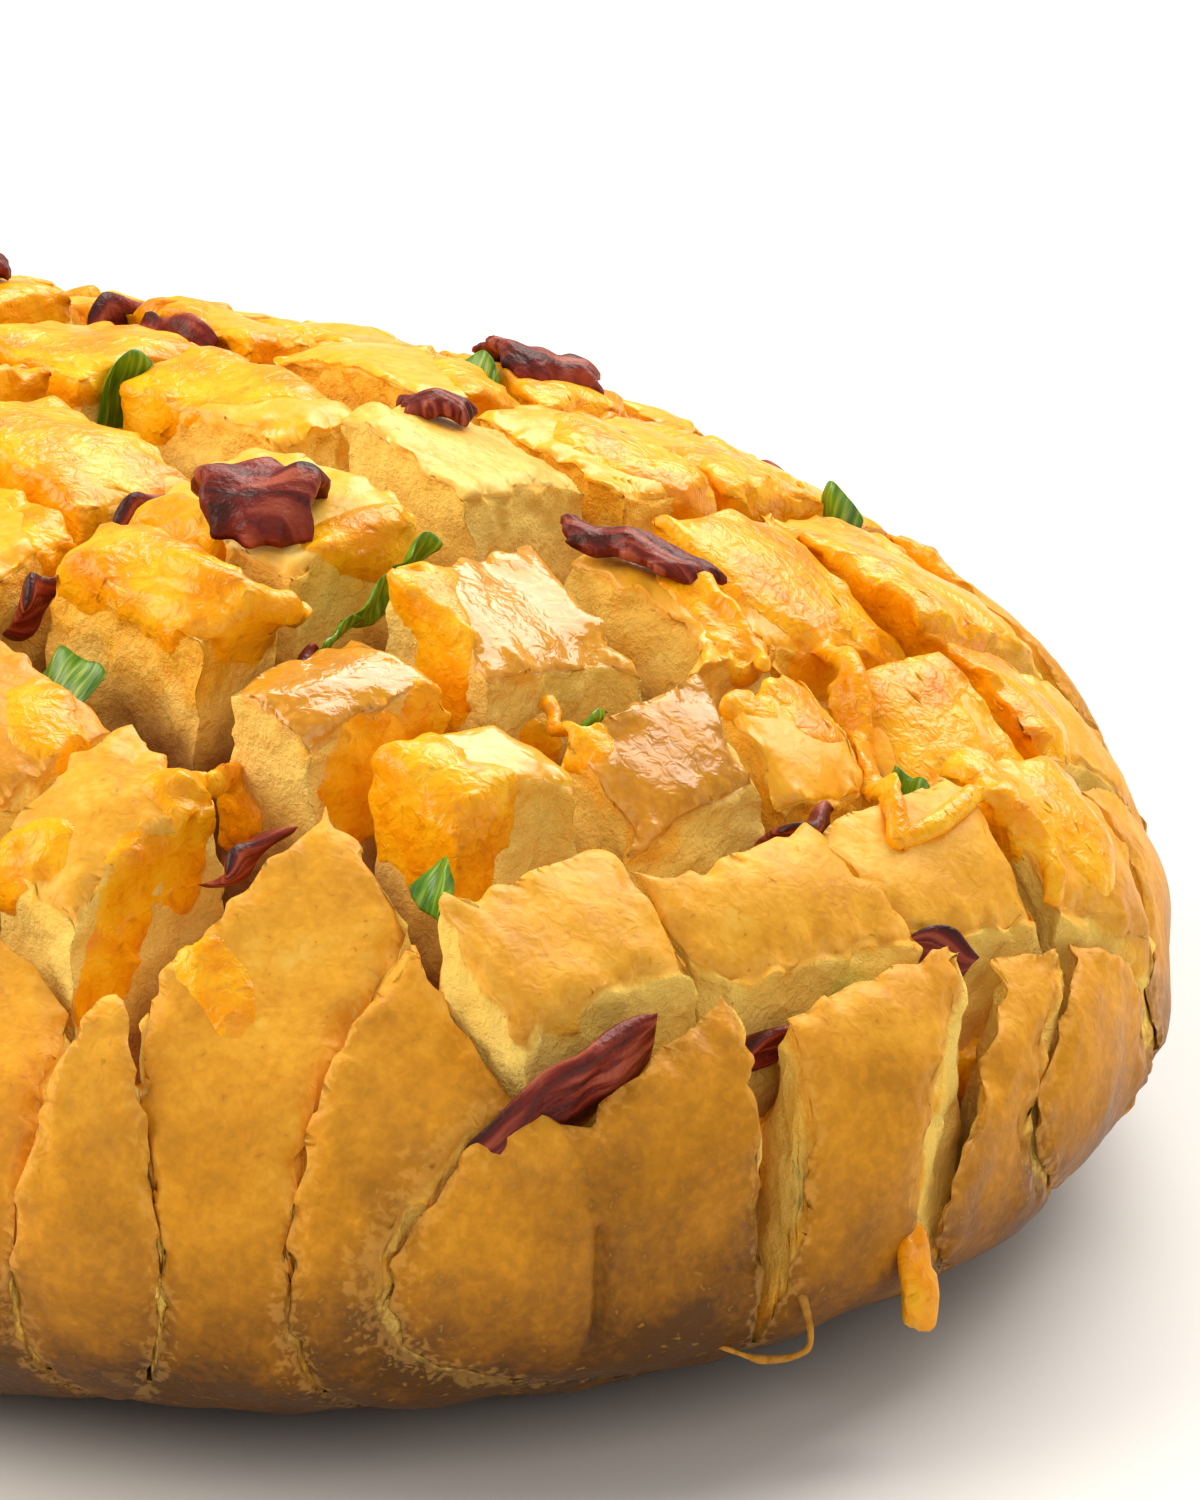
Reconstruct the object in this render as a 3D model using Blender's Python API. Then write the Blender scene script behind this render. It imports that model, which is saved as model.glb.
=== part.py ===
"""A baked pull-apart loaf: cut crosswise and lengthwise, filled with cheddar, bacon and green onion."""

import math

import bmesh
import bpy
import numpy as np

# Lengths are in millimetres and become metres when a mesh is made.
METRES = 0.001

# The loaf lies along Y with its near end at -Y, and rests on the flat of its base.
LOAF_LENGTH = 276.0
LOAF_WIDTH = 212.0
LOAF_HEIGHT = 76.7
WIDEST_AT = 26.0
UNDER_REACH = 33.5
PLAN_POWER = 2.1
TOP_POWER = 2.06
UNDER_POWER = 2.5
CRUST_BUMP = 0.9
RING_SIDES = 60
UNDER_RINGS = 5
TOP_RINGS = 10

# The knife lines: crosswise ones are numbered towards the near end, lengthwise ones towards +X.
GRID_TURN = math.radians(6.6)
FIRST_ROW = -6
FIRST_COLUMN = -3
# Each cut is (place, turn per 100 mm, bow per 100 mm squared), measured from the middle of the loaf.
CROSS_CUTS = (
    (-119.0, 2.0, 0.0),
    (-94.0, 3.0, 0.0),
    (-68.0, 0.0, 0.0),
    (-42.0, -3.0, 0.0),
    (-14.6, -1.4, 0.0),
    (23.7, -8.5, 0.3),
    (57.3, -7.7, -0.3),
    (83.9, -1.1, 0.0),
    (103.7, -1.7, -1.1),
    (122.8, 4.7, -1.0),
)
LONG_CUTS = (
    (-92.0, -2.0, 0.0),
    (-72.4, -1.6, -0.7),
    (-43.5, -2.6, -0.9),
    (-21.4, -0.5, -1.7),
    (7.8, -2.0, -3.0),
    (34.1, -6.2, -1.6),
    (53.6, -4.4, -1.3),
    (75.0, -3.0, 0.0),
    (93.0, -2.0, 0.0),
)
# Near the rim some cuts bend: pairs of place along the cut and shift across it.
BENDS = {
    ("cross", 2): ((-90.0, 2.2), (-70.0, 0.0)),
    ("cross", 3): ((-80.0, 6.0), (-60.0, 1.0), (-50.0, 0.0)),
    ("cross", 4): ((-70.0, -5.0), (-50.0, 0.0)),
    ("long", -1): ((88.0, 0.0), (102.0, -7.0)),
    ("long", 1): ((124.0, 0.0), (136.0, -5.5)),
    ("long", 2): ((117.0, 0.0), (126.0, 6.0), (130.0, 5.0), (139.0, -12.0)),
    ("long", 3): ((118.0, 0.0), (128.0, 4.0), (139.0, -15.0)),
    ("long", 4): ((120.0, 0.0), (136.0, -14.0)),
}
NO_BEND = ((0.0, 0.0), (1.0, 0.0))
CUT_FLOOR = 12.5
FLOOR_HALF = 0.3
# How far a cut has opened at each share of the way from its floor to the crust.
OPENED_AT = (0.0, 0.5, 1.0, 1.3)
OPENED = (0.0, 0.56, 1.0, 1.1)
OVER_CRUST = 14.0
# Towards the rim a cut narrows to a crack: it is closed where the crust is as low as the first height,
# and wholly open from the second on.
CLOSES = (26.0, 48.0)
CLOSES_AT = {
    ("cross", 2): (34.0, 56.0),
    ("cross", 3): (34.0, 58.0),
    ("cross", 4): (12.0, 34.0),
    ("long", -2): (30.0, 50.0),
    ("long", -1): (40.0, 62.0),
    ("long", 0): (30.0, 50.0),
    ("long", 1): (12.0, 34.0),
    ("long", 2): (14.0, 36.0),
    ("long", 3): (20.0, 42.0),
}
SWAY = 0.7
CORNER_REACH = 2.5
FLAT_WITHIN = math.radians(2.2)
# A lengthwise cut stops where it meets a crosswise one this near the rim, so that no corner comes loose.
RIM_CROSSING = 0.94

# Blocks that show: (row, column): (distance of the top's far, near, low-X and high-X edge from the
# cut beside it, lift, slope towards the near end, slope towards +X).
BLOCKS = {
    (-1, 1): (5.0, 8.0, 3.6, 8.0, -1.7, -0.20, -0.15),
    (-1, 2): (3.5, 4.8, 4.4, 7.3, -0.5, -0.02, 0.14),
    (-1, 3): (3.0, 3.5, 3.0, 2.0, 1.0, 0.05, 0.0),
    (0, -1): (3.0, 3.5, 3.0, 4.5, 1.0, 0.0, -0.05),
    (0, 0): (6.7, 1.9, 8.9, 1.5, 3.0, 0.07, -0.05),
    (0, 1): (1.8, 6.4, 4.1, 7.2, 3.5, 0.11, 0.22),
    (0, 2): (7.6, 6.9, 3.8, 1.6, 3.2, -0.09, -0.16),
    (0, 3): (4.0, 3.0, 3.0, 2.0, 1.5, -0.05, 0.0),
    (1, -2): (6.2, 5.0, 3.0, 0.9, -1.5, -0.40, -0.09),
    (1, -1): (0.9, 8.4, 3.0, 6.2, 4.3, 0.02, 0.06),
    (1, 0): (7.4, 5.6, 6.2, 0.6, 4.1, 0.07, -0.11),
    (1, 1): (7.5, 4.5, 6.5, 0.3, 4.6, -0.41, -0.14),
    (1, 2): (4.5, -2.2, 11.0, 5.7, 0.2, -0.01, 0.01),
    (1, 3): (8.5, 3.7, 0.8, 0.6, -1.6, -0.45, 0.0),
    (2, -2): (2.0, 2.0, 3.0, 0.6, 8.0, -0.14, 0.19),
    (2, -1): (5.7, 2.5, 9.0, 1.0, 7.0, -0.51, 0.21),
    (2, 0): (3.2, 5.2, 9.0, 0.3, 8.5, 0.20, -0.30),
    (2, 1): (7.9, 0.5, 7.6, 0.9, 2.0, -0.65, 0.09),
    (2, 2): (8.9, 0.5, 3.9, 4.3, -1.9, -0.60, 0.02),
    (2, 3): (7.4, 0.8, 1.5, 3.0, -1.5, -0.60, 0.40),
    (3, -1): (-0.5, 3.8, 3.0, 3.6, 3.4, -0.38, 0.03),
    (3, 0): (4.0, 1.5, -2.0, 1.5, 8.0, -0.30, -0.50),
    (3, 1): (9.9, 0.3, 0.0, 0.6, 1.0, -0.41, -0.08),
    (3, 2): (8.0, 0.6, 1.3, 1.1, 0.5, -0.30, 0.25),
    (3, 3): (4.0, 1.0, 2.0, 1.5, 0.0, 0.0, 0.0),
    (4, -1): (2.0, 3.0, 3.0, 0.5, 2.5, 0.0, 0.0),
    (4, 0): (4.0, 3.0, 0.3, 0.7, 4.5, 0.0, 0.25),
    (4, 1): (5.1, 3.0, 6.7, 0.3, 2.8, 0.0, 0.24),
    (4, 2): (3.8, 3.0, 3.0, 0.0, 1.4, 0.07, 0.50),
}
# The other blocks are drawn from these ranges, in the same order.
BLOCK_LEAST = (2.0, 2.0, 2.0, 2.0, -1.5, -0.08, -0.08)
BLOCK_MOST = (4.5, 4.5, 4.5, 4.5, 2.5, 0.08, 0.08)
SETTLE_POWER = 1.15

# The filling stands in the cuts up to a share of the crust's height.
FILL_FLOOR = 21.0
FILL_SHARE = 0.62
FILL_THICKNESS = 0.26
FILL_LEAST_CRUST = 59.0

# Every topping keeps this far from the bread and stays above the highest filling.
CLEARANCE = 0.35
OVER_FILL = 0.72

# Strips of bacon and onion that stand in a cut:
# (kind, number, from, to, depth under the crust, height over the crust).
BACON_IN_CUTS = (
    ("cross", 0, -19.5, -9.0, 6.0, 1.5),
    ("cross", 0, -38.0, -31.0, 9.0, -1.5),
    ("cross", 1, -31.0, -24.0, 8.5, -3.3),
    ("cross", 2, -58.0, -49.5, 7.0, -2.2),
    ("cross", 4, -56.0, -33.5, 8.0, 1.5),
    ("cross", 4, -24.0, -10.0, 11.0, -6.8),
    ("cross", 3, -1.5, 8.0, 7.0, -1.5),
    ("long", 2, 122.0, 126.0, 5.0, -0.8),
    ("cross", 3, 17.0, 24.5, 14.0, -10.0),
    ("cross", -2, 33.0, 47.0, 11.0, 1.0),
    ("cross", -4, -18.0, -3.0, 9.0, 1.5),
    ("long", 3, -38.0, -22.0, 10.0, 1.0),
    ("long", 6, 10.0, 22.0, 8.0, 0.5),
)
ONION_IN_CUTS = (
    ("cross", 1, -24.0, -16.5, 8.0, -4.2),
    ("cross", 1, -16.5, -8.5, 9.0, -3.4),
    ("cross", 1, -9.0, -4.0, 5.5, -0.8),
    ("cross", 2, -10.5, -4.5, 7.0, -4.1),
    ("long", 0, 98.5, 103.0, 4.5, 0.0),
    ("cross", 3, -2.0, 3.0, 10.5, -8.3),
    ("long", 0, 39.0, 47.0, 7.5, -3.5),
    ("long", 3, 100.0, 106.0, 6.0, 0.8),
    ("cross", 4, -9.5, -4.5, 8.0, -4.8),
    ("long", 4, 0.0, 7.0, 8.0, 1.0),
    ("cross", -1, 12.0, 19.0, 8.0, 2.0),
    ("cross", -3, 22.0, 29.0, 8.0, 2.0),
    ("long", 0, -50.0, -43.0, 8.0, 2.0),
    ("long", 5, 44.0, 51.0, 7.0, 2.0),
)
BACON_HALF = 1.3
ONION_HALF = 0.55

# Bacon that lies on the crust: (x, y, heading in degrees, length, width, arch).
BACON_ON_CRUST = (
    (-9.5, -44.0, -38.0, 14.0, 13.0, 5.0),
    (26.0, -62.8, -62.0, 13.0, 4.6, 0.8),
    (25.0, -30.5, -38.0, 8.0, 4.5, 0.8),
    (-30.0, 33.0, 20.0, 15.0, 11.0, 3.0),
    (22.0, 62.0, 75.0, 17.0, 8.0, 2.2),
    (66.0, 2.0, -20.0, 13.0, 9.0, 2.6),
)

# Cheese that bridges a cut: (kind, number, along the cut, length, reach before, reach after, dip).
CHEESE_SHEETS = (
    ("long", 1, 40.0, 22.0, 17.0, 1.5, 5.0),
    ("long", 1, 70.0, 17.0, 4.0, 7.0, 9.0),
    ("long", 0, 73.0, 14.0, 12.0, 2.0, 5.0),
    ("cross", 3, -37.0, 13.0, 14.0, 1.5, 4.0),
    ("long", 1, 91.0, 6.0, 1.5, 4.5, 3.0),
    ("long", 2, 89.0, 8.0, 3.0, 4.0, 4.0),
    ("long", 3, 77.0, 11.0, 4.0, 2.0, 7.0),
    ("cross", 3, 21.0, 13.0, 13.0, 5.0, 4.0),
    ("cross", 1, 2.0, 10.0, 8.0, 2.0, 6.0),
    ("cross", 1, 44.0, 22.0, 12.0, 14.0, 5.0),
    ("long", 4, 106.0, 12.0, 8.0, 7.0, 4.0),
    ("cross", 0, 22.0, 26.0, 15.0, 1.5, 5.0),
    ("cross", -1, -12.0, 26.0, 10.0, 12.0, 5.0),
    ("cross", -3, -24.0, 24.0, 12.0, 10.0, 5.0),
    ("long", 4, -52.0, 24.0, 10.0, 11.0, 5.0),
    ("long", -1, 0.0, 22.0, 9.0, 10.0, 5.0),
)
SHEET_THICKNESS = 1.3
# A shred that sticks out of a crack low on the near side: (number of the cut, from, to, lowest, highest).
CHEESE_SHRED = (2, 136.6, 139.6, 13.0, 21.0)
SHRED_HALF = 0.9


def plan_share(x, y):
    """0 at the loaf's middle and 1 where it is widest."""
    across = np.abs(x) / (LOAF_WIDTH / 2)
    along = np.abs(y) / (LOAF_LENGTH / 2)
    return (across**PLAN_POWER + along**PLAN_POWER) ** (1 / PLAN_POWER)


def crust_height(x, y):
    share = np.minimum(plan_share(x, y), 0.999)
    rise = (1 - share**TOP_POWER) ** (1 / TOP_POWER)
    return WIDEST_AT + (LOAF_HEIGHT - WIDEST_AT) * rise


def cut_list(kind):
    return CROSS_CUTS if kind == "cross" else LONG_CUTS


def first_number(kind):
    return FIRST_ROW + 1 if kind == "cross" else FIRST_COLUMN + 1


def cut_numbers(kind):
    first = first_number(kind)
    return range(first, first + len(cut_list(kind)))


def to_plan(kind, across, along):
    """A point given across and along a kind of cut, as x and y."""
    toward_end, toward_side = (across, along) if kind == "cross" else (along, across)
    x = toward_end * math.sin(GRID_TURN) + toward_side * math.cos(GRID_TURN)
    y = -toward_end * math.cos(GRID_TURN) + toward_side * math.sin(GRID_TURN)
    return x, y


def from_plan(x, y):
    toward_end = x * math.sin(GRID_TURN) - y * math.cos(GRID_TURN)
    toward_side = x * math.cos(GRID_TURN) + y * math.sin(GRID_TURN)
    return toward_end, toward_side


def cut_centre(kind, number, along):
    place, turn, bow = cut_list(kind)[number - first_number(kind)]
    part = along / 100
    bend = np.interp(along, *zip(*BENDS.get((kind, number), NO_BEND)))
    return place + turn * part + bow * part**2 + bend + SWAY * np.sin(along / 17 + 1.7 * number)


def crossing(cross, long):
    """Where two cuts meet, given towards the near end and towards the side."""
    toward_end, toward_side = 0.0, 0.0
    for _ in range(6):
        toward_end = float(cut_centre("cross", cross, toward_side))
        toward_side = float(cut_centre("long", long, toward_end))
    return toward_end, toward_side


def cut_reach(kind, number):
    """The stretch along a cut that the knife has opened."""
    reach = LOAF_WIDTH / 2 + 12 if kind == "cross" else LOAF_LENGTH / 2 + 12
    low, high = -reach, reach
    if kind == "long":
        for cross in cut_numbers("cross"):
            end, side = crossing(cross, number)
            if RIM_CROSSING < plan_share(*to_plan("cross", end, side)):
                low, high = (low, min(high, end)) if end > 0 else (max(low, end), high)
    return low, high


def block_table():
    """The numbers of every block, by row and column."""
    rng = np.random.default_rng(11)
    rows, columns = len(CROSS_CUTS) + 1, len(LONG_CUTS) + 1
    table = rng.uniform(BLOCK_LEAST, BLOCK_MOST, (rows, columns, len(BLOCK_LEAST)))
    for (row, column), values in BLOCKS.items():
        table[row - FIRST_ROW, column - FIRST_COLUMN] = values
    return table


BLOCK_TABLE = block_table()


def corners_along(kind, number):
    """Where the other kind of cuts cross this one."""
    if kind == "cross":
        return [crossing(number, other)[1] for other in cut_numbers("long")]
    return [crossing(other, number)[0] for other in cut_numbers("cross")]


def side_steps(kind, number):
    """The stations of one cut, and the distance of each side's wall from its centre at the crust."""
    stations = [-LOAF_LENGTH]
    for corner in corners_along(kind, number):
        stations += [corner - CORNER_REACH, corner + CORNER_REACH]
    stations.append(LOAF_LENGTH)
    if kind == "cross":
        before = BLOCK_TABLE[number - 1 - FIRST_ROW, :, 1]
        after = BLOCK_TABLE[number - FIRST_ROW, :, 0]
    else:
        before = BLOCK_TABLE[:, number - 1 - FIRST_COLUMN, 3]
        after = BLOCK_TABLE[:, number - FIRST_COLUMN, 2]
    return np.array(stations), np.repeat(before, 2), np.repeat(after, 2)


SIDE_STEPS = {(kind, n): side_steps(kind, n) for kind in ("cross", "long") for n in cut_numbers(kind)}


def walls(kind, number, along, z):
    """The places of the two walls of a cut, across it."""
    stations, before, after = SIDE_STEPS[kind, number]
    centre = cut_centre(kind, number, along)
    crust = crust_height(*to_plan(kind, centre, along))
    opened = np.interp((z - CUT_FLOOR) / (crust - CUT_FLOOR), OPENED_AT, OPENED)
    closed, wide = CLOSES_AT.get((kind, number), CLOSES)
    part = np.clip((crust - closed) / (wide - closed), 0, 1)
    opened = opened * part**2 * (3 - 2 * part)
    low = centre - FLOOR_HALF - (np.interp(along, stations, before) - FLOOR_HALF) * opened
    high = centre + FLOOR_HALF + (np.interp(along, stations, after) - FLOOR_HALF) * opened
    return low, high


def block_index(kind, across, along, z):
    """The number of the block that a point is in, passing smoothly from one to the next in a gap."""
    index = np.full(np.shape(across), first_number(kind) - 1, float)
    for number in cut_numbers(kind):
        low, high = walls(kind, number, along, z)
        part = np.clip((across - low) / (high - low), 0, 1)
        index = index + part**2 * (3 - 2 * part)
    return index


def middles(kind):
    """The place of each block's middle across one kind of cut, near the loaf's middle."""
    places = np.array([place for place, _, _ in cut_list(kind)])
    return np.concatenate([[places[0] - 10], (places[1:] + places[:-1]) / 2, [places[-1] + 10]])


def settle(points):
    """Lifts every block by its own amount and slope, more towards the crust."""
    points = np.array(points, float)
    x, y, z = points.T
    toward_end, toward_side = from_plan(x, y)
    row = block_index("cross", toward_end, toward_side, z) - FIRST_ROW
    column = block_index("long", toward_side, toward_end, z) - FIRST_COLUMN
    row0 = np.minimum(np.floor(row).astype(int), BLOCK_TABLE.shape[0] - 2)
    column0 = np.minimum(np.floor(column).astype(int), BLOCK_TABLE.shape[1] - 2)
    lift = np.zeros(len(points))
    for step_row, row_weight in ((0, 1 - (row - row0)), (1, row - row0)):
        for step_column, column_weight in ((0, 1 - (column - column0)), (1, column - column0)):
            i, j = row0 + step_row, column0 + step_column
            block = BLOCK_TABLE[i, j]
            off_end = toward_end - middles("cross")[i]
            off_side = toward_side - middles("long")[j]
            rise = block[:, 4] + block[:, 5] * off_end + block[:, 6] * off_side
            lift += row_weight * column_weight * rise
    part = np.clip((z - CUT_FLOOR) / (LOAF_HEIGHT - CUT_FLOOR), 0, 1.1) ** SETTLE_POWER
    return np.column_stack([x, y, z + lift * part])


def material(name, colour, roughness):
    made = bpy.data.materials.new(name)
    made.use_nodes = True
    shader = made.node_tree.nodes["Principled BSDF"]
    shader.inputs["Base Color"].default_value = (*colour, 1)
    shader.inputs["Roughness"].default_value = roughness
    shader.inputs["Metallic"].default_value = 0
    return made


def mesh_object(name, points, faces, made_of=None):
    mesh = bpy.data.meshes.new(name)
    points = np.asarray(points, float) * METRES
    mesh.from_pydata([tuple(p) for p in points], [], [tuple(f) for f in faces])
    if made_of:
        mesh.materials.append(made_of)
    obj = bpy.data.objects.new(name, mesh)
    bpy.context.scene.collection.objects.link(obj)
    return obj


def outward(obj, split=False):
    work = bmesh.new()
    work.from_mesh(obj.data)
    if split:
        bmesh.ops.triangulate(work, faces=work.faces)
    bmesh.ops.recalc_face_normals(work, faces=work.faces)
    if work.calc_volume(signed=True) < 0:
        bmesh.ops.reverse_faces(work, faces=work.faces)
    work.to_mesh(obj.data)
    work.free()


def plate_faces(rows, columns, start=0):
    """Faces of a closed plate whose front and back are grids of rows by columns points."""
    back = start + rows * columns

    def at(side, row, column):
        return side + row * columns + column

    faces = []
    for row in range(rows - 1):
        for column in range(columns - 1):
            corners = [(row, column), (row + 1, column), (row + 1, column + 1), (row, column + 1)]
            faces.append([at(start, *c) for c in corners])
            faces.append([at(back, *c) for c in reversed(corners)])
    rim = [(row, 0) for row in range(rows)]
    rim += [(rows - 1, column) for column in range(1, columns)]
    rim += [(row, columns - 1) for row in range(rows - 2, -1, -1)]
    rim += [(0, column) for column in range(columns - 2, 0, -1)]
    for first, second in zip(rim, rim[1:] + rim[:1]):
        faces.append([at(start, *second), at(start, *first), at(back, *first), at(back, *second)])
    return faces


def plate(name, front, back, made_of=None, settled=True):
    """A closed plate between two grids of points, each shaped (rows, columns, 3)."""
    rows, columns = front.shape[:2]
    points = np.concatenate([front.reshape(-1, 3), back.reshape(-1, 3)])
    obj = mesh_object(name, settle(points) if settled else points, plate_faces(rows, columns), made_of)
    outward(obj, split=settled)
    return obj


def boolean(target, operation, operand, solver="EXACT"):
    modifier = target.modifiers.new(operation.title(), "BOOLEAN")
    modifier.operation = operation
    modifier.solver = solver
    if isinstance(operand, bpy.types.Collection):
        modifier.operand_type = "COLLECTION"
        modifier.collection = operand
    else:
        modifier.object = operand


def apply_modifiers(obj):
    graph = bpy.context.evaluated_depsgraph_get()
    done = bpy.data.meshes.new_from_object(obj.evaluated_get(graph))
    obj.modifiers.clear()
    obj.data = done


def keep_largest(obj):
    """Drops the loose scraps that a union leaves beside its main body."""
    work = bmesh.new()
    work.from_mesh(obj.data)
    left = set(work.verts)
    bodies = []
    while left:
        body = set()
        front = [left.pop()]
        while front:
            vertex = front.pop()
            body.add(vertex)
            for edge in vertex.link_edges:
                other = edge.other_vert(vertex)
                if other in left:
                    left.remove(other)
                    front.append(other)
        bodies.append(body)
    main = max(bodies, key=len)
    scraps = [vertex for vertex in work.verts if vertex not in main]
    bmesh.ops.delete(work, geom=scraps, context="VERTS")
    work.to_mesh(obj.data)
    work.free()


def settle_mesh(obj, flat_within):
    """Splits the faces into triangles, then moves the points with their blocks."""
    work = bmesh.new()
    work.from_mesh(obj.data)
    bmesh.ops.dissolve_degenerate(work, dist=0.00002, edges=work.edges)
    bmesh.ops.dissolve_limit(
        work, angle_limit=flat_within, use_dissolve_boundaries=False, verts=work.verts, edges=work.edges
    )
    bmesh.ops.triangulate(work, faces=work.faces)
    moved = settle(np.array([v.co for v in work.verts]) / METRES) * METRES
    for vertex, place in zip(work.verts, moved):
        vertex.co = place
    work.to_mesh(obj.data)
    work.free()


def whole_loaf(made_of):
    """The uncut loaf, as rings from the base to the crown."""
    turn = np.linspace(0, 2 * math.pi, RING_SIDES, endpoint=False)
    sine, cosine = np.sin(turn), np.cos(turn)
    reach = 1 / plan_share(sine, cosine)
    under = WIDEST_AT * (np.arange(UNDER_RINGS) / UNDER_RINGS) ** 1.3
    over = WIDEST_AT + (LOAF_HEIGHT - WIDEST_AT) * np.sin(
        np.linspace(0, math.pi / 2, TOP_RINGS + 1)[:-1]
    )
    points = []
    for z in np.concatenate([under, over]):
        if z < WIDEST_AT:
            share = (1 - ((WIDEST_AT - z) / UNDER_REACH) ** UNDER_POWER) ** (1 / UNDER_POWER)
        else:
            share = (1 - ((z - WIDEST_AT) / (LOAF_HEIGHT - WIDEST_AT)) ** TOP_POWER) ** (1 / TOP_POWER)
        bump = CRUST_BUMP * np.sin(5 * turn + z / 9) * np.cos(3 * turn - z / 14) * min(1, z / 6)
        x = reach * share * sine + bump * sine
        y = reach * share * cosine + bump * cosine
        points.append(np.column_stack([x, y, np.full(RING_SIDES, z)]))
    rings = len(points)
    points = np.concatenate(points + [[[0, 0, 0]], [[0, 0, LOAF_HEIGHT]]])
    faces = []
    for ring in range(rings - 1):
        for side in range(RING_SIDES):
            low = ring * RING_SIDES
            after = (side + 1) % RING_SIDES
            faces.append((low + side, low + after, low + RING_SIDES + after, low + RING_SIDES + side))
    base, crown = rings * RING_SIDES, rings * RING_SIDES + 1
    last = (rings - 1) * RING_SIDES
    for side in range(RING_SIDES):
        after = (side + 1) % RING_SIDES
        faces.append((base, after, side))
        faces.append((crown, last + side, last + after))
    loaf = mesh_object("loaf", points, faces, made_of)
    outward(loaf)
    return loaf


def cut_stations(kind, number):
    low, high = cut_reach(kind, number)
    bends = [place for place, _ in BENDS.get((kind, number), ())]
    stations = sorted([*SIDE_STEPS[kind, number][0], *bends])
    inner = [place for place in stations if low < place < high]
    return np.array([low, *inner, high])


def cutter(kind):
    """All the knife lines of one kind, each a wedge that is narrow at the floor."""
    points = []
    faces = []
    start = 0
    for number in cut_numbers(kind):
        along = cut_stations(kind, number)[:, None]
        crust = crust_height(*to_plan(kind, cut_centre(kind, number, along), along))
        z = CUT_FLOOR + (crust - CUT_FLOOR) * np.array(OPENED_AT)
        z[:, -1] = crust[:, 0] + OVER_CRUST
        for across in walls(kind, number, along, z):
            x, y = to_plan(kind, across, along)
            points.append(np.stack([x, y, z], -1).reshape(-1, 3))
        faces += plate_faces(*z.shape, start)
        start += 2 * z.size
    tool = mesh_object("cutter_" + kind, np.concatenate(points), faces)
    outward(tool)
    tool.hide_render = True
    tool.display_type = "WIRE"
    return tool


def make_loaf(made_of):
    loaf = whole_loaf(made_of)
    for kind in ("cross", "long"):
        tool = cutter(kind)
        boolean(loaf, "DIFFERENCE", tool, "MANIFOLD")
        apply_modifiers(loaf)
        bpy.data.objects.remove(tool)
    settle_mesh(loaf, FLAT_WITHIN)
    return loaf


def between_walls(kind, number, along, z, places, clearance=0.0):
    """Points across a cut, placed from -1 at the one wall to 1 at the other, less a clearance."""
    low, high = walls(kind, number, along, z)
    middle, half = (low + high) / 2, (high - low) / 2 - clearance
    return middle + half * places


def fill_slab(kind, number):
    """One cut's filling, from the cut's floor to a wavy top inside the crust."""
    stations = cut_stations(kind, number)[1:-1]
    x, y = to_plan(kind, cut_centre(kind, number, stations), stations)
    inside = (plan_share(x, y) < 1) & (crust_height(x, y) > FILL_LEAST_CRUST)
    stations, x, y = stations[inside], x[inside], y[inside]
    if len(stations) < 2:
        return None
    wave = 0.06 * np.sin(stations / 19 + number)
    crown = crust_height(x, y) * (FILL_SHARE + wave)
    floor = FILL_FLOOR + 0.23 * (number - FIRST_ROW) + (1.3 if kind == "long" else 0)
    grids = []
    for side in (-FILL_THICKNESS, FILL_THICKNESS):
        levels = []
        for z in (np.full(len(stations), floor), crown):
            across = between_walls(kind, number, stations, z, side)
            levels.append(np.column_stack([*to_plan(kind, across, stations), z]))
        grids.append(np.stack(levels, 1))
    return plate(f"fill_{kind}_{number}", grids[0], grids[1], settled=False)


def make_fill(made_of):
    """The melted cheese between the blocks, one body because the cuts cross."""
    slabs = [fill_slab(kind, number) for kind in ("cross", "long") for number in cut_numbers(kind)]
    slabs = [slab for slab in slabs if slab]
    first, others = slabs[0], slabs[1:]
    group = bpy.data.collections.new("fill_slabs")
    for slab in others:
        group.objects.link(slab)
    boolean(first, "UNION", group, "MANIFOLD")
    apply_modifiers(first)
    for slab in others:
        bpy.data.objects.remove(slab)
    bpy.data.collections.remove(group)
    first.name = "cheese_fill"
    keep_largest(first)
    first.data.materials.clear()
    first.data.materials.append(made_of)
    settle_mesh(first, FLAT_WITHIN / 4)


def strip_in_cut(name, made_of, spec, half_thickness, curl):
    """A strip on edge that leans on one wall of a cut, clear of the bread and of the filling."""
    kind, number, low, high, depth, proud = spec
    stations = np.linspace(low, high, 4 if high - low < 20 else 7)
    part = np.linspace(0, 1, len(stations))
    crust = crust_height(*to_plan(kind, cut_centre(kind, number, stations), stations))
    uneven = min(0.8, 0.12 * (depth + proud)) * np.sin(7 * part + number + low)
    rounded = min(1.5, 0.25 * (depth + proud)) * (2 * part - 1) ** 4
    top = crust + proud + uneven - rounded
    bottom = np.maximum(crust - depth + rounded, OVER_FILL * crust + CLEARANCE)
    sides = ([], [])
    for share in (0, 0.5, 1):
        z = bottom + (top - bottom) * share
        lean = curl * (2 * share - 1) + 0.25 * np.sin(4.5 * part + 2 * share + number)
        room = between_walls(kind, number, stations, np.minimum(z, crust), 1, CLEARANCE)
        middle = between_walls(kind, number, stations, np.minimum(z, crust), 0)
        room = room - middle
        half = np.minimum(half_thickness, 0.8 * room)
        offset = (room - half) * np.clip(lean, -1, 1)
        for side, levels in zip((-1, 1), sides):
            x, y = to_plan(kind, middle + offset + side * half, stations)
            levels.append(np.column_stack([x, y, z]))
    plate(name, np.stack(sides[0], 1), np.stack(sides[1], 1), made_of)


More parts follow.
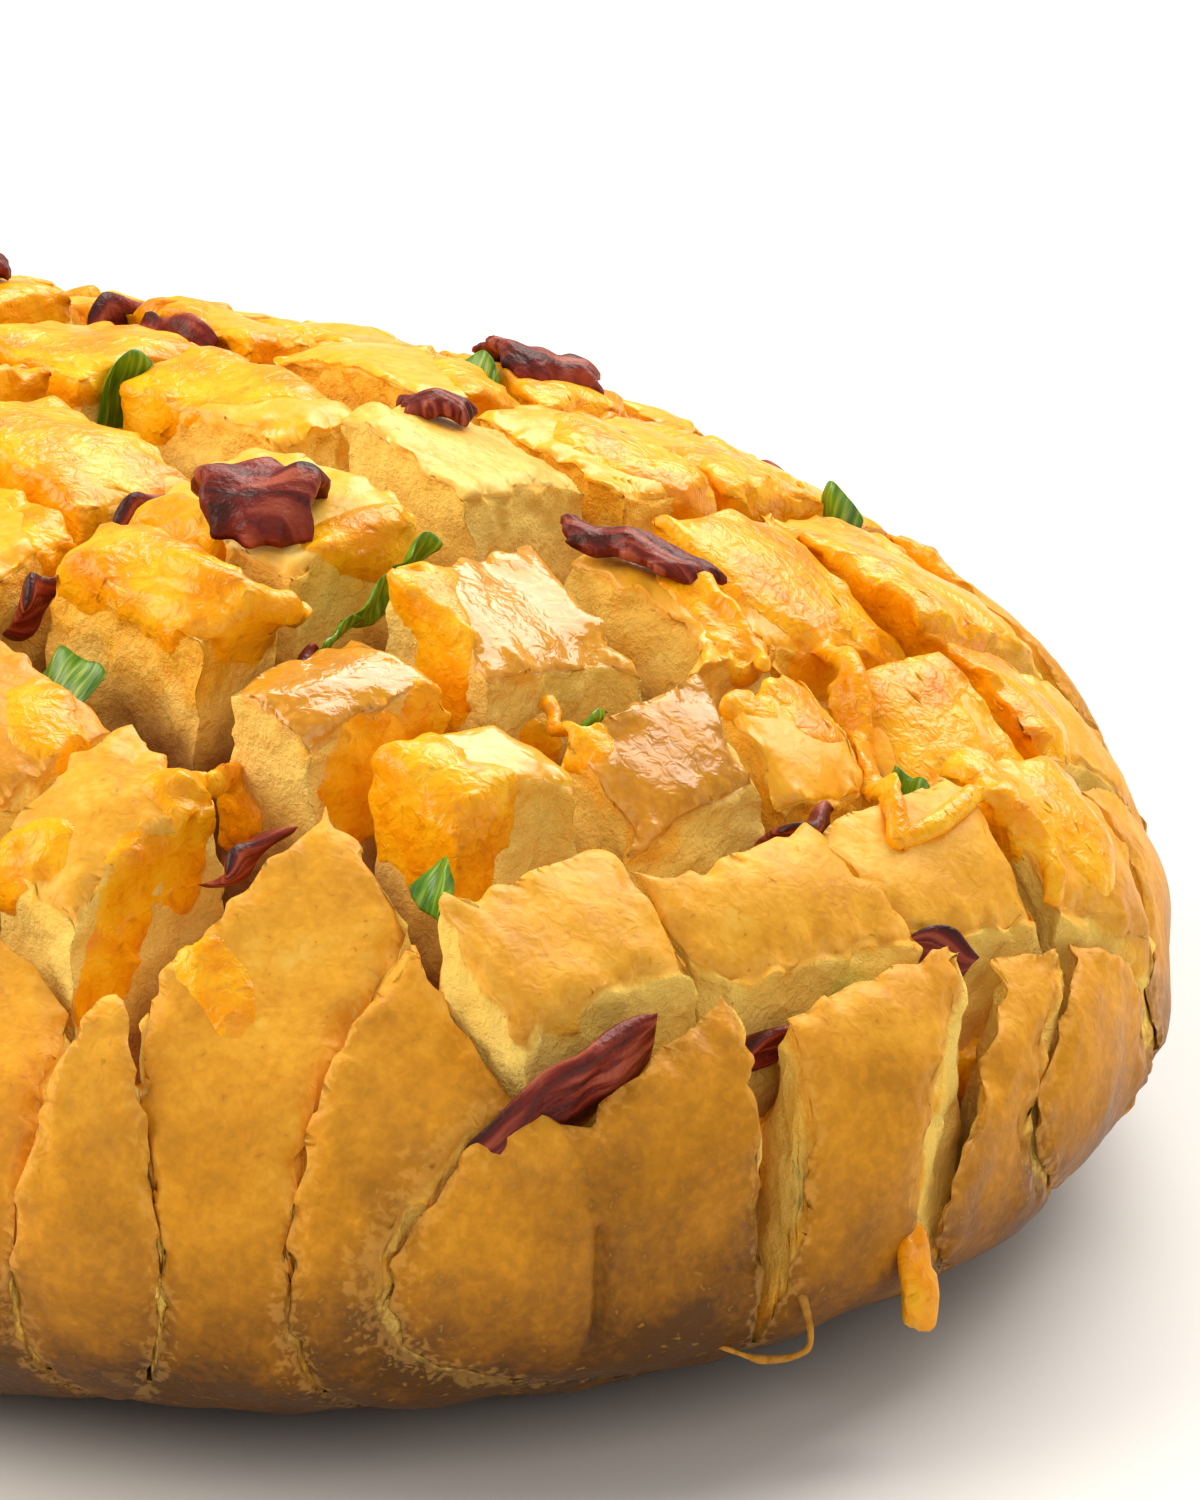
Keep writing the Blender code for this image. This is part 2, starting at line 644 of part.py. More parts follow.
def strip_on_crust(name, made_of, spec):
    """A piece that lies over the crust, arched along its width."""
    x0, y0, heading, length, width, arch = spec
    turn = math.radians(heading)
    across, deep = np.meshgrid(np.linspace(-0.5, 0.5, 4), np.linspace(-0.5, 0.5, 5), indexing="ij")
    taper = 1 - 0.25 * np.abs(np.sin(5 * across + 3 * deep + x0))
    side = across * length * taper
    back = deep * width * (1 - 0.2 * np.cos(4 * across + y0))
    x = x0 + side * math.cos(turn) - back * math.sin(turn)
    y = y0 + side * math.sin(turn) + back * math.cos(turn)
    rest = crust_height(x, y)
    rise = arch * np.cos(math.pi * deep) ** 0.8 + 0.5 * np.sin(6 * across)
    low = rest + CRUST_BUMP + 3 * CLEARANCE + np.maximum(rise, 0)
    thick = 1.9 * BACON_HALF
    plate(name, np.stack([x, y, low + thick], -1), np.stack([x, y, low], -1), made_of)


def block_stretch(kind, number, place):
    """The stretch of a cut beside one pair of blocks, clear of the cuts that cross it."""
    other = "long" if kind == "cross" else "cross"
    across = float(cut_centre(kind, number, place))
    sides = [walls(other, n, across, LOAF_HEIGHT) for n in cut_numbers(other)]
    low = max([float(high) for _, high in sides if high < place], default=-LOAF_LENGTH)
    high = min([float(low) for low, _ in sides if low > place], default=LOAF_LENGTH)
    return low + 3 * CLEARANCE, high - 3 * CLEARANCE


def cheese_sheet(name, made_of, spec):
    """Cheese laid over the crust on both sides of a cut, dipping into it."""
    kind, number, place, length, before, after, dip = spec
    low, high = block_stretch(kind, number, place)
    low, high = max(low, place - length / 2), min(high, place + length / 2)
    stations = np.linspace(low, high, 4)
    end = np.linspace(-1, 1, 4)
    narrow = 1 - 0.45 * end**2
    centre = cut_centre(kind, number, stations)
    crust = crust_height(*to_plan(kind, centre, stations))
    left = between_walls(kind, number, stations, crust - dip, -1, CLEARANCE)
    right = between_walls(kind, number, stations, crust - dip, 1, CLEARANCE)
    room = (right - left) / 2
    columns = [left - 1 - before * narrow, left - 1 - before * narrow / 2, left, left + room / 3]
    sinks = [0, 0, 0, 1]
    if after > 3:
        columns += [right - room / 3, right, right + 1 + after * narrow]
        sinks += [1, 0, 0]
    front, back = [], []
    for across, sink in zip(columns, sinks):
        x, y = to_plan(kind, across, stations)
        rest = crust_height(x, y) + CRUST_BUMP + CLEARANCE
        swell = SHEET_THICKNESS * (1 - 0.35 * end**2)
        front.append(np.column_stack([x, y, rest + swell - sink * 0.3 * dip]))
        back.append(np.column_stack([x, y, rest - sink * dip * (1 - 0.5 * end**2)]))
    plate(name, np.stack(front, 1), np.stack(back, 1), made_of)


def cheese_shred(name, made_of, spec):
    """A strip that sticks out of a lengthwise crack, just clear of the crust."""
    number, low, high, bottom, top = spec
    stations = np.linspace(low, high, 4)
    centre = cut_centre("long", number, stations)
    sides = ([], [])
    for share in (0, 0.5, 1):
        z = bottom + (top - bottom) * share - 0.5 * (stations - low)
        across = centre + 0.5 * np.sin(3 * share + stations)
        for side, levels in zip((-SHRED_HALF, SHRED_HALF), sides):
            levels.append(np.column_stack([*to_plan("long", across + side, stations), z]))
    plate(name, np.stack(sides[0], 1), np.stack(sides[1], 1), made_of)


def make_all(name, maker, specs, *rest):
    for number, spec in enumerate(specs, 1):
        maker(f"{name}_{number:02d}", rest[0], spec, *rest[1:])


for old in list(bpy.data.objects):
    bpy.data.objects.remove(old)
crust = material("baked bread", (0.62, 0.33, 0.09), 0.5)
cheddar = material("melted cheddar", (0.95, 0.42, 0.02), 0.3)
rasher = material("fried bacon", (0.27, 0.05, 0.03), 0.35)
onion = material("green onion", (0.12, 0.32, 0.03), 0.4)
make_loaf(crust)
make_fill(cheddar)
make_all("cheese_sheet", cheese_sheet, CHEESE_SHEETS, cheddar)
make_all("bacon_strip", strip_in_cut, BACON_IN_CUTS, rasher, BACON_HALF, 0.6)
make_all("bacon_piece", strip_on_crust, BACON_ON_CRUST, rasher)
make_all("onion_slice", strip_in_cut, ONION_IN_CUTS, onion, ONION_HALF, 0.9)
cheese_shred("cheese_shred", cheddar, CHEESE_SHRED)
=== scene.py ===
import math

import bmesh
import bpy
import numpy as np
import openvdb
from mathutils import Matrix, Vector


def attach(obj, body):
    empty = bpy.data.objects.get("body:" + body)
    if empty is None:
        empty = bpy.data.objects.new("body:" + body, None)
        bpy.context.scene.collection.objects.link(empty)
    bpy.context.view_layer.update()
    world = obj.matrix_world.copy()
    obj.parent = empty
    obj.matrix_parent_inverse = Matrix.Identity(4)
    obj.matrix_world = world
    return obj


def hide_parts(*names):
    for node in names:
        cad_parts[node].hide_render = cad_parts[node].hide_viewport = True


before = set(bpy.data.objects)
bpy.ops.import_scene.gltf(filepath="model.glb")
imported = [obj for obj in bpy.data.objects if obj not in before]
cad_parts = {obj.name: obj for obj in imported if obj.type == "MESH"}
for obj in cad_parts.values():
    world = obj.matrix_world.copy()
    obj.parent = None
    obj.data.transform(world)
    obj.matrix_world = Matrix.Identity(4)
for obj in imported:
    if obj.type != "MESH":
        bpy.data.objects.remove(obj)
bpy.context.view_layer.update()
mm = 0.001  # sizes below are in millimetres, meshes are in metres

# The loaf's form and its knife lines, the same as the solids have.
loafShape = {
    "length": 276.0, "width": 212.0, "height": 76.7, "widestAt": 26.0, "underReach": 33.5,
    "planPower": 2.1, "topPower": 2.06, "underPower": 2.5, "bump": 0.9,
}
cutShape = {
    "turn": math.radians(6.6), "floor": 12.5, "floorHalf": 0.3, "cornerReach": 2.5,
    "sway": 0.7, "swayLength": 17.0, "swayShift": 1.7,  # how far and over what length a cut wanders
    "openedAt": (0.0, 0.5, 1.0, 1.3), "opened": (0.0, 0.56, 1.0, 1.1), "overCrust": 14.0, "beyondRim": 12.0,
    "rimCrossing": 0.94, "settlePower": 1.15, "settleMost": 1.1,
    "closes": (26.0, 48.0),  # crust heights between which a cut goes from a closed crack to wholly open
    "closesAt": {
        ("cross", 2): (34.0, 56.0), ("cross", 3): (34.0, 58.0), ("cross", 4): (12.0, 34.0),
        ("long", -2): (30.0, 50.0), ("long", -1): (40.0, 62.0), ("long", 0): (30.0, 50.0),
        ("long", 1): (12.0, 34.0), ("long", 2): (14.0, 36.0), ("long", 3): (20.0, 42.0),
    },
}
firstBlock = {"cross": -6, "long": -3}  # number of the first row and of the first column
cutLines = {  # each line: place, turn per 100 mm, bow per 100 mm squared
    "cross": (
        (-119.0, 2.0, 0.0), (-94.0, 3.0, 0.0), (-68.0, 0.0, 0.0), (-42.0, -3.0, 0.0),
        (-14.6, -1.4, 0.0), (23.7, -8.5, 0.3), (57.3, -7.7, -0.3), (83.9, -1.1, 0.0),
        (103.7, -1.7, -1.1), (122.8, 4.7, -1.0),
    ),
    "long": (
        (-92.0, -2.0, 0.0), (-72.4, -1.6, -0.7), (-43.5, -2.6, -0.9), (-21.4, -0.5, -1.7),
        (7.8, -2.0, -3.0), (34.1, -6.2, -1.6), (53.6, -4.4, -1.3), (75.0, -3.0, 0.0),
        (93.0, -2.0, 0.0),
    ),
}
bends = {  # near the rim some cuts bend: pairs of place along the cut and shift across it
    ("cross", 2): ((-90.0, 2.2), (-70.0, 0.0)), ("cross", 3): ((-80.0, 6.0), (-60.0, 1.0), (-50.0, 0.0)),
    ("cross", 4): ((-70.0, -5.0), (-50.0, 0.0)), ("long", -1): ((88.0, 0.0), (102.0, -7.0)),
    ("long", 1): ((124.0, 0.0), (136.0, -5.5)),
    ("long", 2): ((117.0, 0.0), (126.0, 6.0), (130.0, 5.0), (139.0, -12.0)),
    ("long", 3): ((118.0, 0.0), (128.0, -0.5), (139.0, -17.0)),
    ("long", 4): ((120.0, 0.0), (136.0, -14.0)),
}
# Blocks near the camera: far, near, low-X and high-X edge from the cut, lift, slope to the end, slope to +X.
seenBlocks = {
    (-1, 1): (5.0, 8.0, 3.6, 8.0, -1.7, -0.20, -0.15), (-1, 2): (3.5, 4.8, 4.4, 7.3, -0.5, -0.02, 0.14),
    (-1, 3): (3.0, 3.5, 3.0, 2.0, 1.0, 0.05, 0.0), (0, -1): (3.0, 3.5, 3.0, 4.5, 1.0, 0.0, -0.05),
    (0, 0): (6.7, 1.9, 8.9, 1.5, 3.0, 0.07, -0.05), (0, 1): (1.8, 6.4, 4.1, 7.2, 3.5, 0.11, 0.22),
    (0, 2): (7.6, 6.9, 3.8, 1.6, 3.2, -0.09, -0.16), (0, 3): (4.0, 3.0, 3.0, 2.0, 1.5, -0.05, 0.0),
    (1, -2): (6.2, 5.0, 3.0, 0.9, -1.5, -0.40, -0.09), (1, -1): (0.9, 8.4, 3.0, 6.2, 4.3, 0.02, 0.06),
    (1, 0): (7.4, 5.6, 6.2, 0.6, 4.1, 0.07, -0.11), (1, 1): (7.5, 4.5, 6.5, 0.3, 4.6, -0.41, -0.14),
    (1, 2): (4.5, -2.2, 11.0, 5.7, 0.2, -0.01, 0.01), (1, 3): (8.5, 3.7, 0.8, 0.6, -1.6, -0.45, 0.0),
    (2, -2): (2.0, 2.0, 3.0, 0.6, 8.0, -0.14, 0.19), (2, -1): (5.7, 2.5, 9.0, 1.0, 7.0, -0.51, 0.21),
    (2, 0): (3.2, 5.2, 9.0, 0.3, 8.5, 0.20, -0.30), (2, 1): (7.9, 0.5, 7.6, 0.9, 2.0, -0.65, 0.09),
    (2, 2): (8.9, 0.5, 3.9, 4.3, -1.9, -0.60, 0.02), (2, 3): (7.4, 0.8, 1.5, 3.0, -1.5, -0.60, 0.40),
    (3, -1): (-0.5, 0.6, 3.0, 3.6, 3.4, -0.38, 0.03), (3, 0): (4.0, 1.5, -2.0, 1.5, 8.0, -0.30, -0.50),
    (3, 1): (9.9, 0.3, 0.0, 0.6, 1.0, -0.41, -0.08), (3, 2): (8.0, 0.6, 1.3, 1.1, 0.5, -0.30, 0.25),
    (3, 3): (4.0, 1.0, 2.0, 1.5, 0.0, 0.0, 0.0), (4, -1): (0.6, 3.0, 3.0, 0.5, 2.5, 0.0, 0.0),
    (4, 0): (4.0, 3.0, 0.3, 0.7, 4.5, 0.0, 0.25), (4, 1): (5.1, 3.0, 6.7, 0.3, 2.8, 0.0, 0.24),
    (4, 2): (3.8, 3.0, 8.0, 0.0, 1.4, 0.07, 0.50),
}
# The other blocks get the same seven values, drawn between these.
blockLeast = (2.0, 2.0, 2.0, 2.0, -1.5, -0.08, -0.08)
blockMost = (4.5, 4.5, 4.5, 4.5, 2.5, 0.08, 0.08)
blockSeed = 11


def planShare(x, y):  # 0 in the middle, 1 at the widest outline
    across = np.abs(x) / (loafShape["width"] / 2)
    along = np.abs(y) / (loafShape["length"] / 2)
    power = loafShape["planPower"]
    return (across**power + along**power) ** (1 / power)


def crustHeight(x, y):
    share = np.minimum(planShare(x, y), 0.999)  # just inside the rim, where the crust stands upright
    power = loafShape["topPower"]
    rise = (1 - share**power) ** (1 / power)
    return loafShape["widestAt"] + (loafShape["height"] - loafShape["widestAt"]) * rise


def crustValue(x, y, z):  # 1 on the crust, less inside
    share = planShare(x, y)
    over = np.maximum(z - loafShape["widestAt"], 0) / (loafShape["height"] - loafShape["widestAt"])
    under = np.maximum(loafShape["widestAt"] - z, 0) / loafShape["underReach"]
    topPower, lowPower = loafShape["topPower"], loafShape["underPower"]
    top = (share**topPower + over**topPower) ** (1 / topPower)
    low = (share**lowPower + under**lowPower) ** (1 / lowPower)
    return np.where(z >= loafShape["widestAt"], top, low)


def aboveCrust(x, y, z):  # distance from the crust, below 0 inside the loaf, and the way out
    value = crustValue(x, y, z)
    step, leastSlope = 0.5, 0.004
    slopes = np.stack([
        crustValue(x + step, y, z) - crustValue(x - step, y, z),
        crustValue(x, y + step, z) - crustValue(x, y - step, z),
        crustValue(x, y, z + step) - crustValue(x, y, z - step),
    ], -1) / (2 * step)
    steep = np.maximum(np.linalg.norm(slopes, axis=-1), leastSlope)
    return (value - 1) / steep, slopes / steep[..., None]


def cutNumbers(kind):  # each cut has the number of the block row or column after it
    return range(firstBlock[kind] + 1, firstBlock[kind] + 1 + len(cutLines[kind]))


def toPlan(kind, across, along):  # from places across and along a cut to x and y
    towardEnd, towardSide = (across, along) if kind == "cross" else (along, across)
    sine, cosine = math.sin(cutShape["turn"]), math.cos(cutShape["turn"])
    return towardEnd * sine + towardSide * cosine, -towardEnd * cosine + towardSide * sine


def fromPlan(x, y):  # how far towards the near end, and how far to the side
    sine, cosine = math.sin(cutShape["turn"]), math.cos(cutShape["turn"])
    return x * sine - y * cosine, x * cosine + y * sine


def cutCentre(kind, number, along):
    place, turn, bow = cutLines[kind][number - firstBlock[kind] - 1]
    part = along / 100  # turn and bow are given per 100 mm
    bend = np.interp(along, *zip(*bends.get((kind, number), ((0.0, 0.0), (1.0, 0.0)))))
    sway = cutShape["sway"] * np.sin(along / cutShape["swayLength"] + cutShape["swayShift"] * number)
    return place + turn * part + bow * part**2 + bend + sway


def crossing(cross, long):  # where two cuts meet
    towardEnd, towardSide = 0.0, 0.0
    for _ in range(6):  # each round comes closer
        towardEnd = float(cutCentre("cross", cross, towardSide))
        towardSide = float(cutCentre("long", long, towardEnd))
    return towardEnd, towardSide


def cutReach(kind, number):  # from where to where a cut runs
    reach = loafShape["width" if kind == "cross" else "length"] / 2 + cutShape["beyondRim"]
    low, high = -reach, reach
    if kind == "long":
        for cross in cutNumbers("cross"):
            end, side = crossing(cross, number)
            if cutShape["rimCrossing"] < planShare(*toPlan("cross", end, side)):
                low, high = (low, min(high, end)) if end > 0 else (max(low, end), high)
    return low, high


def makeBlockTable():
    rng = np.random.default_rng(blockSeed)
    shape = (len(cutLines["cross"]) + 1, len(cutLines["long"]) + 1, len(blockLeast))
    table = rng.uniform(blockLeast, blockMost, shape)
    for (row, column), values in seenBlocks.items():
        table[row - firstBlock["cross"], column - firstBlock["long"]] = values
    return table


blockTable = makeBlockTable()


def makeSideSteps(kind, number):  # how far each block beside a cut stands back from it, along the cut
    if kind == "cross":
        corners = [crossing(number, other)[1] for other in cutNumbers("long")]
        before = blockTable[number - 1 - firstBlock["cross"], :, 1]
        after = blockTable[number - firstBlock["cross"], :, 0]
    else:
        corners = [crossing(other, number)[0] for other in cutNumbers("cross")]
        before = blockTable[:, number - 1 - firstBlock["long"], 3]
        after = blockTable[:, number - firstBlock["long"], 2]
    stations = [-loafShape["length"]]
    for corner in corners:
        stations += [corner - cutShape["cornerReach"], corner + cutShape["cornerReach"]]
    stations.append(loafShape["length"])
    return np.array(stations), np.repeat(before, 2), np.repeat(after, 2)


sideSteps = {(kind, n): makeSideSteps(kind, n) for kind in ("cross", "long") for n in cutNumbers(kind)}


def walls(kind, number, along, z):  # the two walls of a cut, across it
    stations, before, after = sideSteps[kind, number]
    centre = cutCentre(kind, number, along)
    crust = crustHeight(*toPlan(kind, centre, along))
    share = (z - cutShape["floor"]) / (crust - cutShape["floor"])
    opened = np.interp(share, cutShape["openedAt"], cutShape["opened"])
    closed, wide = cutShape["closesAt"].get((kind, number), cutShape["closes"])
    part = np.clip((crust - closed) / (wide - closed), 0, 1)
    opened = opened * part**2 * (3 - 2 * part)
    half = cutShape["floorHalf"]
    low = centre - half - (np.interp(along, stations, before) - half) * opened
    high = centre + half + (np.interp(along, stations, after) - half) * opened
    return low, high


# How far points are inside the nearest cut (below 0: how far from it), and the number of their block.
def cutDepths(kind, x, y, z, numbers=None):
    towardEnd, towardSide = fromPlan(x, y)
    across, along = (towardEnd, towardSide) if kind == "cross" else (towardSide, towardEnd)
    index = np.full(np.shape(x), float(firstBlock[kind]))
    inside = np.full(np.shape(x), -99.0)  # far from any cut
    for number in cutNumbers(kind) if numbers is None else numbers:
        low, high = walls(kind, number, along, z)
        part = np.clip((across - low) / (high - low), 0, 1)
        index += part**2 * (3 - 2 * part)
        near = np.minimum(across - low, high - across)
        reachLow, reachHigh = cutReach(kind, number)
        near = np.minimum(near, np.minimum(along - reachLow, reachHigh - along))
        inside = np.maximum(inside, near)
    return inside, index


def middles(kind):  # of each row or column of blocks, with the outermost ones a little past the last cut
    places = np.array([line[0] for line in cutLines[kind]])
    past = 10
    return np.concatenate([[places[0] - past], (places[1:] + places[:-1]) / 2, [places[-1] + past]])


def blockShares(row, column):  # the four blocks that a point belongs to, with their weights
    row, column = row - firstBlock["cross"], column - firstBlock["long"]
    row0 = np.minimum(np.floor(row).astype(int), blockTable.shape[0] - 2)
    column0 = np.minimum(np.floor(column).astype(int), blockTable.shape[1] - 2)
    for i, rowWeight in ((0, 1 - (row - row0)), (1, row - row0)):
        for j, columnWeight in ((0, 1 - (column - column0)), (1, column - column0)):
            yield row0 + i, column0 + j, rowWeight * columnWeight


def settleLift(x, y, z, row, column):  # how far the blocks have risen and leant
    towardEnd, towardSide = fromPlan(x, y)
    lift = np.zeros(len(x))
    for i, j, weight in blockShares(row, column):
        block = blockTable[i, j]
        rise = block[:, 4] + block[:, 5] * (towardEnd - middles("cross")[i])
        rise += block[:, 6] * (towardSide - middles("long")[j])
        lift += weight * rise
    part = (z - cutShape["floor"]) / (loafShape["height"] - cutShape["floor"])
    part = np.clip(part, 0, cutShape["settleMost"])
    return lift * part ** cutShape["settlePower"]


# Smooth value noise with three parts, the same at every run.
noiseCells = 64
noiseGrid = np.random.default_rng(5).uniform(-1, 1, (noiseCells,) * 3 + (3,)).astype(np.float32)


def noise(points, cell, shift=0.0):  # cell is its size in mm, and each shift gives another noise
    place = points / cell + shift
    base = np.floor(place).astype(int)
    part = place - base
    part = part * part * (3 - 2 * part)
    total = np.zeros((len(points), 3))
    for corner in range(8):
        step = np.array([corner & 1, corner >> 1 & 1, corner >> 2 & 1])
        weight = np.prod(np.where(step == 1, part, 1 - part), axis=1)
        at = (base + step) % noiseCells
        total += weight[:, None] * noiseGrid[at[:, 0], at[:, 1], at[:, 2]]
    return total


def smooth(low, high, value):  # from 0 at low to 1 at high
    part = np.clip((value - low) / (high - low), 0, 1)
    return part * part * (3 - 2 * part)


def meshObject(name, points, triangles, made=None, attributes=None):
    mesh = bpy.data.meshes.new(name)
    mesh.vertices.add(len(points))
    mesh.vertices.foreach_set("co", (np.asarray(points) * mm).astype(np.float32).ravel())
    sides = triangles.shape[1]
    mesh.loops.add(triangles.size)
    mesh.loops.foreach_set("vertex_index", triangles.astype(np.int32).ravel())
    mesh.polygons.add(len(triangles))
    mesh.polygons.foreach_set("loop_start", np.arange(0, triangles.size, sides, dtype=np.int32))
    mesh.polygons.foreach_set("use_smooth", np.ones(len(triangles), bool))
    mesh.update(calc_edges=True)
    for key, values in (attributes or {}).items():
        mesh.attributes.new(key, "FLOAT", "POINT").data.foreach_set("value", values.astype(np.float32))
    if made:
        mesh.materials.append(made)
    thing = bpy.data.objects.new(name, mesh)
    bpy.context.scene.collection.objects.link(thing)
    return thing


def outward(thing):  # turns the faces of a closed mesh outwards
    work = bmesh.new()
    work.from_mesh(thing.data)
    bmesh.ops.recalc_face_normals(work, faces=work.faces)
    if work.calc_volume(signed=True) < 0:
        bmesh.ops.reverse_faces(work, faces=work.faces)
    work.to_mesh(thing.data)
    work.free()


def gridFaces(rows, columns, start=0, flip=False):
    at = start + np.arange(rows * columns).reshape(rows, columns)
    corners = [at[:-1, :-1], at[1:, :-1], at[1:, 1:], at[:-1, 1:]]
    faces = np.stack(corners[::-1] if flip else corners, -1)
    return faces.reshape(-1, 4)


def gridRim(at):  # the points round the rim of a grid, in order
    return np.concatenate([at[:, 0], at[-1, 1:], at[-2::-1, -1], at[0, -2:0:-1]])


def plateFaces(rows, columns, start=0):  # a closed plate: front grid, back grid and the rim between them
    size = rows * columns
    rim = gridRim(start + np.arange(size).reshape(rows, columns))
    after = np.roll(rim, -1)
    band = np.stack([after, rim, rim + size, after + size], -1)
    front, rear = gridFaces(rows, columns, start), gridFaces(rows, columns, start + size, True)
    return np.concatenate([front, rear, band])


def cornerMap(cells):  # a square grid laid over a disc: angle and share of the way to the rim
    steps = np.linspace(-1, 1, cells + 1)
    a, b = np.meshgrid(steps, steps, indexing="ij")
    wide = np.abs(a) > np.abs(b)
    major = np.where(wide, a, b)
    minor = np.where(wide, b, a)
    lean = math.pi / 4 * minor / np.where(major == 0, 1, major)
    turn = np.where(wide, lean, math.pi / 2 - lean) + np.where(major < 0, math.pi, 0)
    return turn, np.abs(major)


def halves(faces):  # each four-sided face as two triangles
    return np.concatenate([faces[:, [0, 1, 2]], faces[:, [0, 2, 3]]])


domeDetail = {
    "cells": 340, "samples": 2001, "meanHalf": 120.0, "rise": 50.7,  # the last two space the cells evenly
    "underRings": 34, "ringPower": 1.25, "floorShares": (0.97, 0.92, 0.84, 0.7, 0.5, 0.25),
}


def domeMesh():  # the loaf before it is cut: one closed dome
    cells = domeDetail["cells"]
    turn, way = cornerMap(cells)
    rimShare = np.sin(np.linspace(0, math.pi / 2, domeDetail["samples"]))
    rise = (1 - rimShare ** loafShape["topPower"]) ** (1 / loafShape["topPower"])
    run = np.hypot(np.diff(rimShare) * domeDetail["meanHalf"], np.diff(rise) * domeDetail["rise"])
    run = np.concatenate([[0], np.cumsum(run)])
    share = np.interp(way * run[-1], run, rimShare)
    share[way == 1] = 1
    reach = 1 / planShare(np.sin(turn), np.cos(turn))
    x, y = reach * share * np.sin(turn), reach * share * np.cos(turn)
    lift = (1 - share ** loafShape["topPower"]) ** (1 / loafShape["topPower"])
    z = loafShape["widestAt"] + (loafShape["height"] - loafShape["widestAt"]) * lift
    points = [np.stack([x, y, z], -1).reshape(-1, 3)]
    faces = [gridFaces(cells + 1, cells + 1)]
    rim = gridRim(np.arange((cells + 1) ** 2).reshape(cells + 1, cells + 1))
    rimTurn, rimReach = turn.ravel()[rim], reach.ravel()[rim]
    count = (cells + 1) ** 2
    previous = rim
    down = np.linspace(0, 1, domeDetail["underRings"] + 1)[1:]
    heights = loafShape["widestAt"] * (1 - down) ** domeDetail["ringPower"]
    rings = [(height, 1) for height in heights] + [(0, inner) for inner in domeDetail["floorShares"]]
    for height, inner in rings:
        drop = ((loafShape["widestAt"] - height) / loafShape["underReach"]) ** loafShape["underPower"]
        ringShare = (1 - drop) ** (1 / loafShape["underPower"]) * inner * rimReach
        x, y = ringShare * np.sin(rimTurn), ringShare * np.cos(rimTurn)
        points.append(np.column_stack([x, y, np.full(len(rim), height)]))
        ring = count + np.arange(len(rim))
        faces.append(np.stack([previous, ring, np.roll(ring, -1), np.roll(previous, -1)], -1))
        count += len(rim)
        previous = ring
    points.append(np.array([[0, 0, 0]]))
    centre = np.full(len(rim) // 2, count)
    even = previous[::2]
    odd = previous[1::2]
    faces.append(np.stack([centre, np.roll(even, -1), odd, even], -1))
    dome = meshObject("dome", np.concatenate(points), np.concatenate(faces))
    outward(dome)
    return dome


cutDetail = {
    "near": 0.7, "far": 1.6,  # spacing along a cut, on the camera's side and elsewhere
    "nearSide": (25, 0.8, 150),  # that side: y under the first, and x less the second times y under the third
    "rows": (0, 0.16, 0.28, 0.36, 0.43, 0.49, 0.54, 0.58, 0.62, 0.65, 0.68, 0.705, 0.73, 0.755, 0.78,
             0.8, 0.82, 0.84, 0.856, 0.872, 0.888, 0.904, 0.918, 0.932, 0.945, 0.957, 0.969, 0.98, 0.99,
             1.0, 1.01, 1.03, 1.3),  # heights of the points on a cut's walls, as shares of its depth
}


def cutStations(kind, number):
    low, high = cutReach(kind, number)
    stations = [low]
    while stations[-1] < high:
        x, y = toPlan(kind, cutCentre(kind, number, stations[-1]), stations[-1])
        mostY, slope, most = cutDetail["nearSide"]
        seen = y < mostY and x - slope * y < most
        stations.append(stations[-1] + cutDetail["near" if seen else "far"])
    stations[-1] = high
    return np.array(stations)


def cutterMesh(kind):  # all cuts of one kind as closed plates
    points, faces, start = [], [], 0
    for number in cutNumbers(kind):
        along = cutStations(kind, number)[:, None]
        crust = crustHeight(*toPlan(kind, cutCentre(kind, number, along), along))
        z = cutShape["floor"] + (crust - cutShape["floor"]) * np.array(cutDetail["rows"])
        z[:, -1] = crust[:, 0] + cutShape["overCrust"]
        for across in walls(kind, number, along, z):
            x, y = toPlan(kind, across, along)
            points.append(np.stack([x, y, z], -1).reshape(-1, 3))
        faces.append(plateFaces(*z.shape, start))
        start += 2 * z.size
    cutter = meshObject("cutter" + kind, np.concatenate(points), np.concatenate(faces))
    outward(cutter)
    return cutter


def takeResult(thing):  # makes what the modifiers give a plain mesh
    graph = bpy.context.evaluated_depsgraph_get()
    done = bpy.data.meshes.new_from_object(thing.evaluated_get(graph))
    thing.modifiers.clear()
    thing.data = done


def carve(target, cutter):
    modifier = target.modifiers.new("cut", "BOOLEAN")
    modifier.operation = "DIFFERENCE"
    modifier.solver = "MANIFOLD"
    modifier.object = cutter
    takeResult(target)
    bpy.data.objects.remove(cutter)


def triangleArrays(thing):
    mesh = thing.data
    mesh.calc_loop_triangles()
    points = np.empty(len(mesh.vertices) * 3, np.float32)
    mesh.vertices.foreach_get("co", points)
    triangles = np.empty(len(mesh.loop_triangles) * 3, np.int32)
    mesh.loop_triangles.foreach_get("vertices", triangles)
    return points.reshape(-1, 3).astype(float) / mm, triangles.reshape(-1, 3)


# Relief of the baked bread: pairs are the size of a feature and its depth.
crumbShape = {
    "wave": (13.0, 0.8), "torn": (3.4, 0.6), "crumbs": (1.5, 0.45), "rim": (2.2, 0.9),
    "crust": (12.0, 0.9), "crustFine": (4.0, 0.22),
    "pillow": (6, 0.6), "rolled": (0.9, 0.4), "corner": (2.4, 1.1), "cornerHeights": (30, 50),
    "wallDepths": (0.1, 1.6), "rimDepth": 3.5, "rimWidth": 2.2, "rimHeights": (8, 20), "firmHeights": (0, 7),
}

